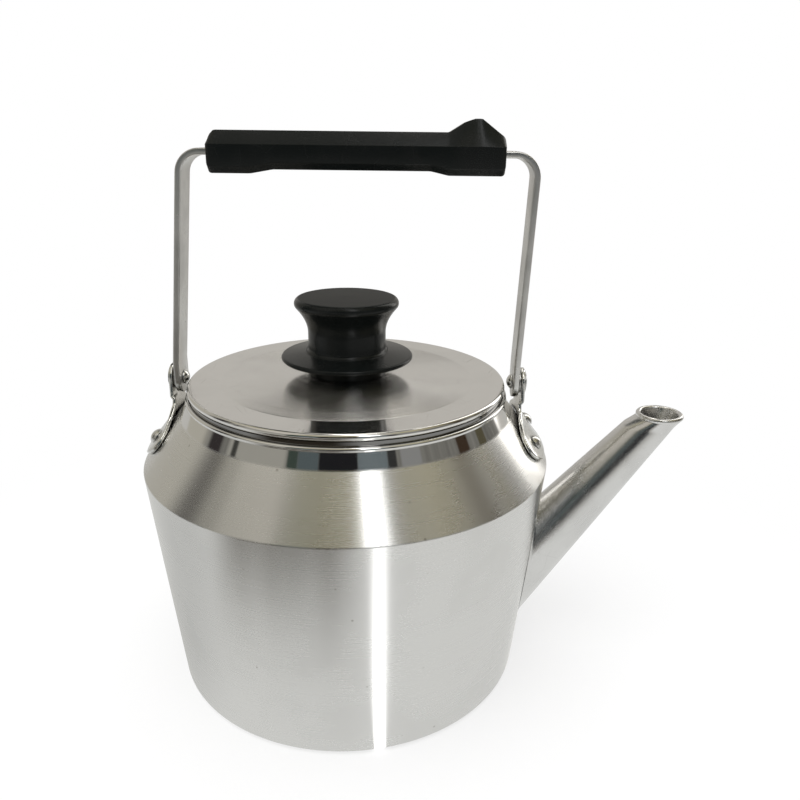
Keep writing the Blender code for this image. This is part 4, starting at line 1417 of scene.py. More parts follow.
@dataclass(frozen=True)
class Ear:
    """Each ear: a pressed leaf on the shoulder that bends up, jogs out and ends in a round lug."""

    shell: Shell
    pivot: Pivot
    thickness: float = 0.0018
    lug_radius: float = 0.0070
    jog: float = 0.0014
    jog_rise: float = 0.0021
    neck_half_width: float = 0.0092
    neck_length: float = 0.0050
    foot_half_width: float = 0.0290
    tip_half_width: float = 0.0180
    foot_widest: float = 0.0070
    foot_margin: float = 0.0028
    leaves_shoulder: float = 0.0026
    edge_round: float = 0.0007
    rivet_spread: float = 0.0155
    rivet_inset: float = 0.0050
    rivet_radius: float = 0.0019
    rivet_head: float = 0.0039
    rivet_dome: float = 0.0022
    shop_head: float = 0.0032
    shop_height: float = 0.0014
    shop_round: float = 0.0005
    tip_power: float = 2.5
    leaf_power: float = 1.8
    edge_shares: tuple = (0.0, 0.12, 0.4, 1.0)
    foot_shares: tuple = (0.0, 0.01, 0.03, 0.06)
    leaf_steps: int = 16
    bend_steps: int = 14
    jog_steps: int = 8
    lug_steps: int = 18
    columns: int = 28

    @property
    def tip_radius(self) -> float:
        """Distance of the leaf's lower edge from the kettle's axis."""
        return self.shell.ridge_radius - self.foot_margin

    def path(self) -> list:
        """Returns the middle surface's centreline from foot to lug.

        Each point comes with how far its row follows the shoulder's curve, from 1 to 0.
        """
        stand_off = self.shell.shoulder_normal * (GAP + self.thickness / 2)
        neck_x = self.pivot.lug - self.jog
        lift_off = neck_x + self.leaves_shoulder
        foot = Vector((self.tip_radius, 0, self.shell.shoulder_height(self.tip_radius))) + stand_off
        bend = Vector((lift_off, 0, self.shell.shoulder_height(lift_off))) + stand_off
        lug_foot = Vector((self.pivot.lug, 0, PIVOT_Z - self.lug_radius - self.thickness / 2))
        neck = Vector((neck_x, 0, lug_foot.z - self.jog_rise))
        rise = (neck - bend).length
        start = self.foot_shares[-1]
        shares = [start + (1 - start) * i / self.leaf_steps for i in range(1, self.leaf_steps)]
        path = [(foot.lerp(bend, share), 1.0) for share in (*self.foot_shares, *shares)]
        controls = [bend, bend + self.shell.shoulder_up * rise / 2, neck - Vector((0, 0, rise / 2)), neck]
        for i in range(self.bend_steps):
            t = i / self.bend_steps
            point = (1 - t) ** 3 * controls[0] + 3 * t * (1 - t) ** 2 * controls[1]
            point += 3 * t**2 * (1 - t) * controls[2] + t**3 * controls[3]
            path.append((point, 1 - t))
        for i in range(self.jog_steps + 1):
            t = i / self.jog_steps
            ease = t * t * (3 - 2 * t)
            x = neck.x + (lug_foot.x - neck.x) * ease
            path.append((Vector((x, 0, neck.z + (lug_foot.z - neck.z) * t)), 0.0))
        return path

    def half_width(self, z: float) -> float:
        """Returns the half width at a height: widest low on the shoulder, narrowing to the lug."""
        tip_z = self.shell.shoulder_height(self.tip_radius)
        widest_z = tip_z + self.foot_widest
        neck_z = PIVOT_Z - self.lug_radius - self.neck_length
        if z < widest_z:
            drop = min(1.0, (widest_z - z) / (widest_z - tip_z))
            drop = drop**self.tip_power
            return self.foot_half_width - (self.foot_half_width - self.tip_half_width) * drop
        if z < neck_z:
            rise = (z - widest_z) / (neck_z - widest_z)
            rise = rise**self.leaf_power
            return self.foot_half_width + (self.neck_half_width - self.foot_half_width) * rise
        rise = min(1.0, (z - neck_z) / self.neck_length)
        return self.neck_half_width + (self.lug_radius - self.neck_half_width) * rise

    def across(self, half: float) -> list:
        """Returns places across a row, close together near its two edges, with their edge distances."""
        band = min(self.edge_round, half / 2)
        near = [band * share for share in self.edge_shares]
        inner = half - band
        middle = [inner * (2 * k / self.columns - 1) for k in range(1, self.columns)]
        left = [(-half + d, d) for d in near]
        return left + [(y, band) for y in middle] + [(-y, d) for y, d in reversed(left)]

    def share(self, inside: float) -> float:
        """Returns the thickness, as a share, at a place inside an edge, as a share of the edge's rounding."""
        if inside >= 1.0:
            return 1.0
        round_off = self.edge_round / (self.thickness / 2)
        return 1 - round_off + round_off * math.sqrt(1 - (1 - inside) ** 2)

    def build(self, name: str, side: int) -> Object:
        """Makes one ear.

        Args:
            name: The piece's name.
            side: 1 for the spout's side and -1 for the other.

        Returns:
            The ear with its rivet holes.
        """
        rows = [(point, curve, self.half_width(point.z)) for point, curve in self.path()]
        for cosine, sine in quarter_turn(self.lug_steps)[1:]:
            point = Vector((self.pivot.lug, 0, PIVOT_Z + self.lug_radius * sine))
            rows.append((point, 0.0, self.lug_radius * max(cosine, BLUNT_END)))
        bm = bmesh.new()
        grid, shares = [], {}
        foot, top = rows[0][0], rows[-1][0]
        for point, curve, half in rows:
            from_end = min((point - foot).length, (point - top).length)
            line = []
            for y, inside in self.across(half):
                sag = point.x - math.sqrt(point.x**2 - y**2)
                vert = bm.verts.new((side * (point.x - curve * sag), y, point.z))
                edge = min(inside / min(self.edge_round, half / 2), from_end / self.edge_round)
                shares[vert] = self.share(edge)
                line.append(vert)
            grid.append(line)
        weave(bm, grid, closed=False)
        thicken(bm, self.thickness, shares)
        ear = from_bmesh(name, bm)
        cut(ear, self.rivet_holes(side) + [self.pivot.hole(side, GAP)])
        return ear

    def rivet_places(self, side: int) -> list:
        """Returns the point on the shoulder and the outward direction of an ear's two rivets."""
        radius = self.tip_radius - self.rivet_inset
        places = []
        for k in (-1, 1):
            angle = k * math.asin(self.rivet_spread / radius)
            turn = Matrix.Rotation(angle if side > 0 else math.pi + angle, 3, "Z")
            point = turn @ Vector((radius, 0, self.shell.shoulder_height(radius)))
            places.append((point, turn @ self.shell.shoulder_normal))
        return places

    def rivet_holes(self, side: int) -> list:
        """Returns the cutters of an ear's two rivet holes."""
        reach = (self.shell.wall + self.thickness) * 2
        ends = [(point - out * reach, point + out * reach) for point, out in self.rivet_places(side)]
        return [rod(self.rivet_radius + GAP, start, end) for start, end in ends]

    def rivet(self) -> list:
        """Returns a rivet's outline from axis to axis, outward along Z from the shoulder's surface."""
        over = GAP + self.thickness + GAP
        inside = -self.shell.wall - GAP
        foot = inside - self.shop_height
        head = (self.shop_head, inside)
        points = [(0, foot), *rounded((0, foot), (self.shop_head, foot), head, self.shop_round, 4)]
        points += [head, (self.rivet_radius, inside), (self.rivet_radius, over)]
        return points + dome(self.rivet_head, self.rivet_dome, over)


def thicken(bm: BMesh, thickness: float, shares: dict) -> None:
    """Gives an open sheet a thickness, half to each side, and closes its rim.

    Args:
        bm: The sheet, which is changed.
        thickness: Its full thickness.
        shares: The share of the thickness that each vertex has.
    """
    bmesh.ops.recalc_face_normals(bm, faces=bm.faces)
    bm.normal_update()
    offsets = {v: v.normal * thickness / 2 * shares[v] for v in bm.verts}
    faces = list(bm.faces)
    rim = [edge for edge in bm.edges if edge.is_boundary]
    back = {v: bm.verts.new(v.co - offset) for v, offset in offsets.items()}
    for v, offset in offsets.items():
        v.co = v.co + offset
    for face in faces:
        bm.faces.new([back[v] for v in reversed(face.verts)])
    for edge in rim:
        a, b = edge.verts
        bm.faces.new([a, b, back[b], back[a]])


@dataclass(frozen=True)
class Bail:
    """The strap: one flat strip with rolled edges, bent square over the lid."""

    pivot: Pivot
    width: float = 0.0150
    height: float = 0.1066
    bend: float = 0.0100
    spread: float = 0.1594
    offset: float = 0.0067
    eye_length: float = 0.0090
    edge_round: float = 0.0007
    edge_share: float = 0.8
    corner_steps: int = 4
    eye_steps: int = 16
    bend_steps: int = 14

    @property
    def top(self) -> float:
        """Height of the strap's middle, over the lid."""
        return PIVOT_Z + self.height

    def stations(self) -> list:
        """Returns where the strap's centreline goes, rear to front, as (x, z, half width)."""
        half = self.width / 2
        x = self.pivot.strap
        eye_top = PIVOT_Z + self.eye_length
        rear, rear_top = (-x, eye_top), (self.offset - self.spread / 2, self.top)
        front_top, front = (self.offset + self.spread / 2, self.top), (x, eye_top)
        turns = quarter_turn(self.eye_steps)[:-1]
        eye = [(PIVOT_Z - half * cosine, half * max(sine, BLUNT_END)) for cosine, sine in turns]
        eye.append((PIVOT_Z, half))
        line = [rear, *rounded(rear, rear_top, front_top, self.bend, self.bend_steps)]
        line += [*rounded(rear_top, front_top, front, self.bend, self.bend_steps), front]
        stations = [(-x, z, width) for z, width in eye]
        stations += [(*point, half) for point in line]
        return stations + [(x, z, width) for z, width in reversed(eye)]

    def ring(self, half: float) -> list:
        """Returns a rounded section, (across, through), for one half width."""
        through = self.pivot.strap_thickness / 2
        corners = [(-half, through), (half, through), (half, -through), (-half, -through)]
        return smoothed(corners, min(self.edge_round, half * self.edge_share), self.corner_steps)

    def build(self) -> Object:
        """Makes the strap with its two pivot holes."""
        stations = self.stations()
        rings = []
        for i, (x, z, half) in enumerate(stations):
            here = Vector((x, z))
            before = Vector(stations[i - 1][:2]) if i else here * 2 - Vector(stations[1][:2])
            after = Vector(stations[i + 1][:2]) if i < len(stations) - 1 else here * 2 - before
            incoming = (here - before).normalized()
            along = (incoming + (after - here).normalized()).normalized()
            outward = Vector((-along.y, along.x)) / along.dot(incoming)
            places = [(here + outward * through, across) for across, through in self.ring(half)]
            rings.append([(place.x, across, place.y) for place, across in places])
        strap = from_bmesh("bail_strip", loft(rings))
        cut(strap, [self.pivot.hole(side, PIVOT_PLAY) for side in (-1, 1)])
        return strap


@dataclass(frozen=True)
class Grip:
    """The grip: a facetted moulding over the strap, with a recess below and a thumb hump."""

    bail: Bail
    length: float = 0.1318
    offset: float = 0.0056
    width: float = 0.0220
    half_height: float = 0.0091
    top_facet: float = 0.0110
    shoulder: float = 0.0032
    chamfer: float = 0.0030
    end_round: float = 0.0018
    hump: float = 0.0057
    hump_length: float = 0.0180
    hump_step: float = 0.0014
    hump_ramp: float = 0.0041
    hump_flat: float = 0.0032
    recess: float = 0.0018
    recess_inset: tuple = (0.0190, 0.0250)
    recess_slope: tuple = (0.0100, 0.0080)
    facet_round: float = 0.0006
    end_chamfer: float = 0.0030
    facet_steps: int = 4
    end_steps: int = 6
    spread: float = 0.0004
    samples: int = 7
    spacing: float = 0.0011

    @property
    def rear(self) -> float:
        """Place of the rear end along X."""
        return self.offset - self.length / 2

    @property
    def front(self) -> float:
        """Place of the spout's end along X."""
        return self.offset + self.length / 2

    def top_line(self) -> list:
        """Returns the corners (x, z) of the top edge seen from the side."""
        high = self.half_height
        crest = high + self.hump
        hump_rear = self.front - self.hump_length
        ramp = hump_rear + self.hump_ramp
        line = [(self.rear, high - self.end_chamfer), (self.rear + self.end_chamfer, high)]
        line.append((self.front - self.recess_inset[1], high))
        line += [(hump_rear, crest - self.hump_step), (ramp, crest), (ramp + self.hump_flat, crest)]
        line.append((self.front - self.end_round, high - self.end_round / 2))
        return line + [(self.front, high - self.end_round)]

    def bottom_line(self) -> list:
        """Returns the corners (x, z) of the bottom edge seen from the side."""
        low = -self.half_height
        start, stop = self.rear + self.recess_inset[0], self.front - self.recess_inset[1]
        line = [(self.rear, low), (start, low), (start + self.recess_slope[0], low + self.recess)]
        return line + [(stop - self.recess_slope[1], low + self.recess), (stop, low), (self.front, low)]

    def level(self, line: list, x: float) -> float:
        """Returns the height of a side line at x, its corners eased over a short stretch."""
        total = 0.0
        for k in range(self.samples):
            at = x + self.spread * (2 * k / (self.samples - 1) - 1)
            total += height_on(line, min(max(at, self.rear), self.front))
        return total / self.samples

    def section(self, x: float, inset: float) -> list:
        """Returns the facetted section at x, drawn in by an inset."""
        top = self.level(self.top_line(), x) - inset
        bottom = self.level(self.bottom_line(), x) + inset
        half = self.width / 2 - inset
        top_half = self.top_facet / 2 - inset / 2
        right = [(half - self.chamfer, bottom), (half, bottom + self.chamfer), (half, self.shoulder)]
        right += [(top_half, top)]
        outline = right + [(-y, z) for y, z in reversed(right)]
        points = smoothed(outline, self.facet_round, self.facet_steps)
        return [(x, y, self.bail.top + z) for y, z in points]

    def build(self) -> Object:
        """Makes the grip with the slot that the strap runs through."""
        ease = self.end_round
        turns = [(ease * (1 - cosine), ease * (1 - sine)) for cosine, sine in quarter_turn(self.end_steps)]
        rings = [self.section(self.rear + run, inset) for run, inset in turns[:-1]]
        start, stop = self.rear + ease, self.front - ease
        count = round((stop - start) / self.spacing)
        rings += [self.section(start + (stop - start) * i / count, 0.0) for i in range(count + 1)]
        rings += [self.section(self.front - run, inset) for inset, run in turns[1:]]
        grip = from_bmesh("grip_moulding", loft(rings))
        half_width = self.bail.width / 2 + GAP
        half_height = self.bail.pivot.strap_thickness / 2 + GAP
        corners = ((-1, -1), (1, -1), (1, 1), (-1, 1))
        slot = [(a * half_width, self.bail.top + b * half_height) for a, b in corners]
        ends = (self.rear - CUT_MARGIN, self.front + CUT_MARGIN)
        cut(grip, [loft([[(x, *corner) for corner in slot] for x in ends])])
        return grip


def height_on(line: list, x: float) -> float:
    """Returns the height at x on a line of corners (x, z)."""
    for (x0, z0), (x1, z1) in zip(line, line[1:]):
        if x <= x1:
            return z0 + (z1 - z0) * max(0.0, (x - x0) / (x1 - x0))
    return line[-1][1]


def blank_material(name: str) -> tuple:
    """Makes a material without nodes, and returns it with its Graph."""
    material = bpy.data.materials.new(name)
    material.use_nodes = True
    material.node_tree.nodes.clear()
    return material, Graph(material.node_tree)


def glowing(material: Material, graph: Graph, colour: NodeSocket) -> Material:
    """Ends a material that glows in a colour, and that only reflections find."""
    glow = graph.add("ShaderNodeEmission", {"Color": colour})
    graph.add("ShaderNodeOutputMaterial", {"Surface": glow.outputs["Emission"]})
    material.cycles.emission_sampling = "NONE"
    return material


def apart(graph: Graph, azimuth: Value, centre: Value) -> NodeSocket:
    """Returns how many degrees a direction is from another, on either side."""
    turned = graph.math("WRAP", graph.math("SUBTRACT", azimuth, centre), HALF_TURN, -HALF_TURN)
    return graph.math("ABSOLUTE", turned)


@dataclass(frozen=True)
class Card:
    """One light or dark thing in the room that the metal mirrors.

    Angles in degrees: azimuth from +X towards +Y, and height above the horizon. Most reach as high as a door.
    """

    name: str
    azimuth: float
    half_width: float
    colour: tuple
    low: float = -8.0
    high: float = 38.0
    edge: float = 0.8


@dataclass(frozen=True)
class Room:
    """What the metal mirrors: a beige room with doors and windows, shown to reflections only.

    Its walls have upright stripes as broad, in degrees, as stripe_width. The heights are in degrees too.
    """

    radius: float = 3.0
    segments: int = 48
    low_wall: tuple = (0.17, 0.165, 0.15)
    high_wall: tuple = (0.37, 0.345, 0.235)
    ceiling: tuple = (0.52, 0.50, 0.45)
    horizon: tuple = (33.0, 43.0)
    ceiling_range: tuple = (55.0, 75.0)
    patch_scale: float = 1.6
    patch_detail: float = 3.0
    unevenness: float = 0.35
    stripes: float = 0.55
    stripe_width: float = 3.0
    cards: tuple = (
        Card("back wall", 95, 62, (0.53, 0.51, 0.475), -12, 42, 6),
        Card("light ceiling", 90, 18, (1.3, 1.25, 1.16), 44, 67, 1.5),
        Card("high ceiling", 90, 21, (4.0, 3.87, 3.6), 65, 86, 1.5),
        Card("dark ceiling right", 55, 18, (0.04, 0.045, 0.045), 38, 84, 2),
        Card("dark ceiling left", 125, 18, (0.04, 0.045, 0.045), 38, 84, 2),
        Card("side wall", 152, 18, (0.43, 0.41, 0.355), -10, 54, 5),
        Card("left wall", -154, 28, (0.58, 0.55, 0.49), 34, 66, 6),
        Card("right wall", -22, 17, (0.42, 0.385, 0.26), 36, 64, 6),
        Card("left panel", -148, 21, (0.33, 0.32, 0.285), -8, 36, 2),
        Card("door frame", -164, 2, (0.05, 0.05, 0.045), -8, 36, 1),
        Card("dark door", 180, 5, (0.035, 0.03, 0.03), -8, 36, 1.5),
        Card("dark curtain", -122.5, 3.5, (0.045, 0.06, 0.05)),
        Card("green door", -112, 7, (0.085, 0.105, 0.11)),
        Card("dark upright", -92, 13, (0.012, 0.012, 0.014)),
        Card("blue frame", -69, 10, (0.14, 0.165, 0.175)),
        Card("dark gap", -56, 3, (0.03, 0.03, 0.03)),
        Card("pale panel", -43, 7, (0.24, 0.24, 0.235)),
        Card("brown cupboard", -4, 4.5, (0.045, 0.03, 0.02)),
        Card("brown ceiling edge", 0, 6, (0.19, 0.165, 0.10), 36, 62, 3),
        Card("low shelf", 13, 3.5, (0.09, 0.08, 0.05)),
        Card("olive shelf", 11, 5, (0.10, 0.088, 0.04), 36, 62, 2),
        Card("right corner", 24.5, 8.5, (0.50, 0.465, 0.34), 30, 64, 2),
        Card("bright door", 42, 9, (2.3, 2.25, 2.15), 4, 66, 2),
        Card("window glow", -56, 8, (0.48, 0.465, 0.42), 36, 76, 6),
        Card("window", -68, 7.4, (3.7, 3.7, 3.7), 39, 89, 0.7),
    )

    def material(self) -> Material:
        """Makes the room's glowing material, worked out from the direction of each point."""
        material, graph = blank_material("room")
        place = graph.place()
        parts = graph.parts(graph.vector("NORMALIZE", place))
        azimuth = graph.math("DEGREES", graph.math("ARCTAN2", parts["Y"], parts["X"]))
        height = graph.math("DEGREES", graph.math("ARCSINE", parts["Z"]))
        card_mask = self.card_group()
        rising = graph.step(height, *self.horizon)
        colour = graph.tint(rising, self.low_wall, self.high_wall)
        row = graph.add("ShaderNodeCombineXYZ", {"X": graph.math("DIVIDE", azimuth, self.stripe_width)})
        stripe = graph.noise(row.outputs["Vector"], 1.0, 2.0)
        stripe = graph.blend(stripe, 1 - self.stripes, 1 + self.stripes)
        colour = graph.tint(rising, graph.scaled(colour, stripe), colour)
        colour = graph.tint(graph.step(height, *self.ceiling_range), colour, self.ceiling)
        patches = graph.noise(place, self.patch_scale, self.patch_detail)
        shade = graph.blend(patches, 1 - self.unevenness, 1 + self.unevenness)
        colour = graph.scaled(colour, shade)
        for card in self.cards:
            mask = use_group(graph, card_mask, Azimuth=azimuth, Height=height, Centre=card.azimuth,
                             Half_Width=card.half_width, Low=card.low, High=card.high, Edge=card.edge)
            mask.label = card.name
            colour = graph.tint(mask.outputs["Mask"], colour, card.colour)
        return glowing(material, graph, colour)

    def card_group(self) -> NodeTree:
        """Makes the group that says how much of a card covers a direction."""
        numbers = dict.fromkeys(("Azimuth", "Height", "Centre", "Half Width", "Low", "High", "Edge"), 0.0)
        tree, graph, given, results = new_group("room_card", numbers, ["Mask"])

        def beyond(value: Value, limit: Value) -> NodeSocket:
            """Returns 0 to 1 as a value passes a limit, over the card's edge."""
            near = graph.math("SUBTRACT", limit, given["Edge"])
            return graph.step(value, near, graph.math("ADD", limit, given["Edge"]))

        turned = apart(graph, given["Azimuth"], given["Centre"])
        across = graph.math("SUBTRACT", 1.0, beyond(turned, given["Half Width"]))
        above = beyond(given["Height"], given["Low"])
        below = graph.math("SUBTRACT", 1.0, beyond(given["Height"], given["High"]))
        mask = graph.math("MULTIPLY", across, graph.math("MULTIPLY", above, below))
        graph.feed(results["Mask"], mask)
        return tree

    def build(self) -> Object:
        """Makes the dome round the kettle."""
        bm = bmesh.new()
        bmesh.ops.create_uvsphere(bm, u_segments=self.segments,
                                  v_segments=self.segments // 2, radius=self.radius)
        dome_object = from_bmesh("room", bm)
        dome_object.data.shade_smooth()
        dome_object.data.materials.append(self.material())
        only_reflected(dome_object)
        return dome_object


@dataclass(frozen=True)
class Floor:
    """The white floor: what the camera sees, and the same floor as the metal mirrors it.

    The mirrored one is darker far away and on one side, and holds the shade of what stands behind the camera
    and the window's streak. Its angles are in degrees.
    """

    radius: float = 2.6
    segments: int = 96
    depth: float = 0.0006
    white: float = 0.95
    glow: float = 0.60
    fade_start: float = 0.12
    fade_end: float = 0.34
    mirrored: tuple = (0.765, 0.77, 0.755)
    mirrored_far: tuple = (0.52, 0.51, 0.48)
    far_from: float = 0.30
    far_to: float = 0.80
    shade: tuple = (0.07, 0.058, 0.042)
    shade_azimuth: float = -114.0
    shade_half_width: float = 30.0
    shade_from: float = 0.175
    shade_to: float = 0.225
    shade_end: float = 0.80
    shade_fade: float = 0.1
    shade_edge: float = 12.0
    blotch_scale: float = 16.0
    blotch_depth: float = 0.07
    dim: float = 0.80
    dim_azimuth: float = -172.0
    dim_half_width: float = 26.0
    dim_edge: float = 22.0
    streak: tuple = (2.4, 2.4, 2.4)
    streak_from: tuple = (0.006, -0.05)
    streak_azimuth: float = -69.0
    streak_half_width: float = 3.8
    streak_edge: float = 0.5
    streak_end: float = 0.285
    streak_fade: float = 0.01

    def disc(self, name: str, z: float) -> Object:
        """Makes a flat disc at a height."""
        bm = bmesh.new()
        bmesh.ops.create_circle(bm, cap_ends=True, segments=self.segments, radius=self.radius)
        bm.transform(Matrix.Translation((0, 0, z)))
        return from_bmesh(name, bm)

    def seen(self) -> Material:
        """Makes the floor that the camera sees, which turns to plain white away from the kettle."""
        material, graph = blank_material("floor")
        distance = graph.vector("LENGTH", graph.place())
        matt = graph.add("ShaderNodeBsdfDiffuse", {"Color": (self.white, self.white, self.white, 1.0)})
        glow = graph.add("ShaderNodeEmission", {"Color": (1.0, 1.0, 1.0, 1.0)})
        share = graph.step(distance, self.fade_start, self.fade_end)
        share = graph.math("MULTIPLY_ADD", share, 1 - self.glow, self.glow)
        both = graph.add("ShaderNodeMixShader", {"Fac": share})
        graph.feed(both.inputs[1], matt.outputs["BSDF"])
        graph.feed(both.inputs[2], glow.outputs["Emission"])
        graph.add("ShaderNodeOutputMaterial", {"Surface": both.outputs["Shader"]})
        return material

    def reflected(self) -> Material:
        """Makes the floor that the metal mirrors: pale near the kettle, with the window's streak on it."""
        material, graph = blank_material("floor_reflected")
        place = graph.place()
        distance = graph.vector("LENGTH", place)
        far = graph.step(distance, self.far_from, self.far_to)
        colour = graph.tint(far, self.mirrored, self.mirrored_far)
        side = self.wedge(graph, self.dim_azimuth, self.dim_half_width, self.dim_edge)
        colour = graph.tint(side, colour, tuple(channel * self.dim for channel in self.mirrored))
        blotch = graph.math("SUBTRACT", graph.noise(place, self.blotch_scale), 0.5)
        blotch = graph.math("MULTIPLY_ADD", blotch, self.blotch_depth, distance)
        gone = graph.step(distance, self.shade_end - self.shade_fade, self.shade_end)
        dark = graph.math("SUBTRACT", graph.step(blotch, self.shade_from, self.shade_to), gone)
        side = self.wedge(graph, self.shade_azimuth, self.shade_half_width, self.shade_edge)
        colour = graph.tint(graph.math("MULTIPLY", dark, side), colour, self.shade)
        middle, half = self.streak_azimuth, self.streak_half_width
        side = self.wedge(graph, middle, half, self.streak_edge, self.streak_from)
        past = graph.step(distance, self.streak_end - self.streak_fade, self.streak_end)
        near = graph.math("SUBTRACT", 1.0, past)
        colour = graph.tint(graph.math("MULTIPLY", near, side), colour, self.streak)
        return glowing(material, graph, colour)

    def wedge(self, graph: Graph, azimuth: float, half: float, edge: float,
              start: tuple = (0.0, 0.0)) -> NodeSocket:
        """Makes the mask of a wedge on the floor.

        Args:
            graph: The material's graph.
            azimuth: Direction of the wedge's middle.
            half: Half of its angle.
            edge: Half of the angle over which it fades.
            start: The wedge's point (x, y).

        Returns:
            A number, 1 inside the wedge and 0 outside it.
        """
        place = graph.parts(graph.vector("SUBTRACT", graph.place(), (*start, 0.0)))
        turn = graph.math("DEGREES", graph.math("ARCTAN2", place["Y"], place["X"]))
        outside = graph.step(apart(graph, turn, azimuth), half - edge, half + edge)
        return graph.math("SUBTRACT", 1.0, outside)

    def build(self) -> list:
        """Makes both floors."""
        shown = self.disc("floor", -2 * self.depth)
        shown.data.materials.append(self.seen())
        shown.visible_glossy = False
        mirrored = self.disc("floor_mirrored", -self.depth)
        mirrored.data.materials.append(self.reflected())
        only_reflected(mirrored)
        return [shown, mirrored]


def only_reflected(obj: Object) -> None:
    """Shows a stage object to reflections only."""
    for way in ("camera", "diffuse", "transmission", "volume_scatter", "shadow"):
        setattr(obj, "visible_" + way, False)


@dataclass(frozen=True)
class Studio:
    """Plain soft light, a white background and the photograph's camera, whose matrix is in camera_rows."""

    ambient: float = 0.86
    lamp_place: tuple = (-0.5, -0.9, 2.2)
    lamp_size: float = 1.8
    lamp_power: float = 26.0
    focal_pixels: float = 740.0
    frame_pixels: float = 800.0
    sensor: float = 36.0
    clip_start: float = 0.01
    camera_rows: tuple = (
        (0.99983, -0.01536, 0.01036, 0.02998),
        (0.01490, 0.33364, -0.94258, -0.34972),
        (0.01102, 0.94258, 0.33381, 0.26200),
        (0.0, 0.0, 0.0, 1.0),
    )

    def build(self) -> None:
        """Makes the camera, the world and the lamp."""
        data = bpy.data.cameras.new("camera")
        data.sensor_width = self.sensor
        data.lens = self.focal_pixels * self.sensor / self.frame_pixels
        data.clip_start = self.clip_start
        camera = link(bpy.data.objects.new("camera", data))
        camera.matrix_world = Matrix(self.camera_rows)
        bpy.context.scene.camera = camera
        bpy.context.scene.view_settings.view_transform = "Standard"
        self.world()
        lamp = bpy.data.lights.new("softbox", "AREA")
        lamp.size = self.lamp_size
        lamp.energy = self.lamp_power
        holder = link(bpy.data.objects.new("softbox", lamp))
        holder.location = self.lamp_place
        holder.rotation_euler = (-Vector(self.lamp_place)).to_track_quat("-Z", "Y").to_euler()
        holder.visible_glossy = False

    def world(self) -> None:
        """Makes the world: white behind the object, and plain soft light round it."""
        world = bpy.data.worlds.new("world")
        world.use_nodes = True
        world.node_tree.nodes.clear()
        graph = Graph(world.node_tree)
        path = graph.add("ShaderNodeLightPath").outputs
        direct = graph.math("MAXIMUM", path["Is Camera Ray"], path["Is Glossy Ray"])
        direct = graph.math("MAXIMUM", direct, path["Is Transmission Ray"])
        strength = graph.blend(direct, self.ambient, 1.0)
        inputs = {"Color": (1.0, 1.0, 1.0, 1.0), "Strength": strength}
        sky = graph.add("ShaderNodeBackground", inputs)
        graph.add("ShaderNodeOutputWorld", {"Surface": sky.outputs["Background"]})
        bpy.context.scene.world = world


def build_body(shell: Shell, spout: Spout, ear: Ear, turner: TurnedSheet, material: Material) -> None:
    """Makes the body with its strainer and rivet holes."""
    body = turner.turn("body_shell", shell.profile(), LARGE_TURNED, material)
    cut(body, spout.strainer() + ear.rivet_holes(-1) + ear.rivet_holes(1), shortest=0.0)
    complete(body, Body.KETTLE, ["body"], material, SHARP_SHEET)


def build_lid(lid: Lid, fixings: KnobFixings, turner: TurnedSheet, finishes: dict) -> None:
    """Makes the lid, its knob and what holds the knob."""
    foot, insert = fixings.knob_foot, fixings.insert()
    bore_top = foot + fixings.insert_length + 2 * GAP
    moulding = Knob(foot).profile(fixings.insert_radius + GAP, bore_top)
    pieces = (
        ("lid_shell", lid.profile(fixings.bore), LARGE_TURNED, "lid", Slot.POLISHED, "lid"),
        ("knob_moulding", moulding, MIDDLE_TURNED, "black", Slot.BLACK, "knob"),
        ("knob_bush", insert, SMALL_TURNED, "brass", Slot.BRASS, "knob_insert"),
        ("knob_washer_ring", fixings.washer(), SMALL_TURNED, "strap", Slot.STRAP, "knob_washer"),
        ("knob_screw_cross", fixings.screw(), SMALL_TURNED, "strap", Slot.STRAP, "knob_screw"),
    )
    for name, profile, segments, finish, slot, node in pieces:
        piece = turner.turn(name, profile, segments, finishes[finish])
        if node == "knob_screw":
            cut(piece, [fixings.recess()])
        complete(piece, Body.LID, [node], finishes[finish])


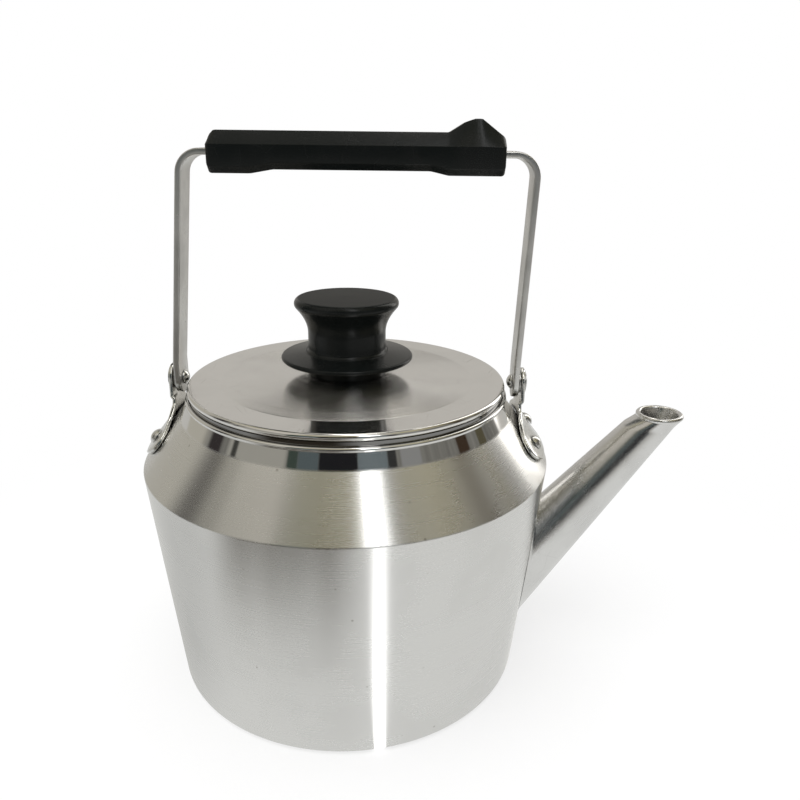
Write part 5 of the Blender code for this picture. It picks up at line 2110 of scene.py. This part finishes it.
def build_ears(ear: Ear, pivot: Pivot, turner: TurnedSheet, setter: SetOnPoints, finishes: dict) -> None:
    """Makes the two ears, their rivets, and the rivets and washers that the bail turns on."""
    pressed, rivet_metal, steel = finishes["pressed"], finishes["rivet"], finishes["strap"]
    for side, label in ((1, "front"), (-1, "rear")):
        plate = ear.build("ear_plate_" + label, side)
        complete(plate, Body.KETTLE, ["ear_" + label], pressed, SHARP_CURVED)
    ear_rivets = [f"ear_rivet_{end}_{hand}" for end in ("front", "rear") for hand in ("left", "right")]
    ear_places = ear.rivet_places(-1) + ear.rivet_places(1)
    pivot_rivets = ["pivot_rivet_front", "pivot_rivet_rear"]
    washers = ["pivot_washer_front", "pivot_washer_rear"]
    sets = (
        ("ear_rivets", ear.rivet(), ear_places, rivet_metal, Slot.RIVET, ear_rivets),
        ("pivot_rivets", pivot.rivet(), pivot.places(), rivet_metal, Slot.RIVET, pivot_rivets),
        ("pivot_washers", pivot.washer(), pivot.places(), steel, Slot.STRAP, washers),
    )
    for name, profile, places, material, slot, nodes in sets:
        piece = turner.turn(name + "_one", profile, SMALL_TURNED, material)
        complete(setter.place(name, piece, places, material), Body.KETTLE, nodes, material)


def build_finishes() -> dict:
    """Makes every material, by a short name."""
    groups = Groups(TurningMarks().build(), Handling().build())
    finishes = {
        "spun": SpunAluminium("spun_satin", colour=(0.82, 0.815, 0.80), roughness=0.27),
        "lid": TurnedPolish("lid_polish", colour=(0.84, 0.83, 0.815), roughness=0.23),
        "spout": DrawnPolish("spout_polish", colour=(0.75, 0.745, 0.735), roughness=0.23),
        "pressed": PressedAluminium("pressed_polish", colour=(0.82, 0.82, 0.80), roughness=0.13),
        "strap": StrapSteel("rolled_steel", colour=(0.70, 0.695, 0.68), roughness=0.29),
        "rivet": SetMetal("set_rivet", colour=(0.78, 0.78, 0.77), roughness=0.24),
        "brass": SetMetal("turned_brass", colour=(0.71, 0.56, 0.28), roughness=0.32),
        "black": BlackPhenolic("moulded_black", colour=(0.0045, 0.0056, 0.0053), roughness=0.22,
                               metallic=0.0),
    }
    return {name: finish.build(groups) for name, finish in finishes.items()}


def main() -> None:
    """Builds the pieces, then the stage."""
    finishes = build_finishes()
    turner, setter = TurnedSheet(), SetOnPoints()
    shell = Shell()
    spout = Spout(shell)
    lid = Lid(shell)
    pivot = Pivot(lid)
    ear = Ear(shell, pivot)
    bail = Bail(pivot)
    build_body(shell, spout, ear, turner, finishes["spun"])
    complete(spout.build(), Body.KETTLE, ["spout"], finishes["spout"], SHARP_CURVED)
    build_lid(lid, KnobFixings(lid), turner, finishes)
    build_ears(ear, pivot, turner, setter, finishes)
    complete(bail.build(), Body.BAIL, ["bail_strap"], finishes["strap"])
    complete(Grip(bail).build(), Body.BAIL, ["grip"], finishes["black"], SHARP_CURVED)
    Room().build()
    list(Floor().build())
    Studio().build()


if __name__ == "__main__":
    logging.basicConfig(level=logging.INFO, format="%(message)s")
    main()
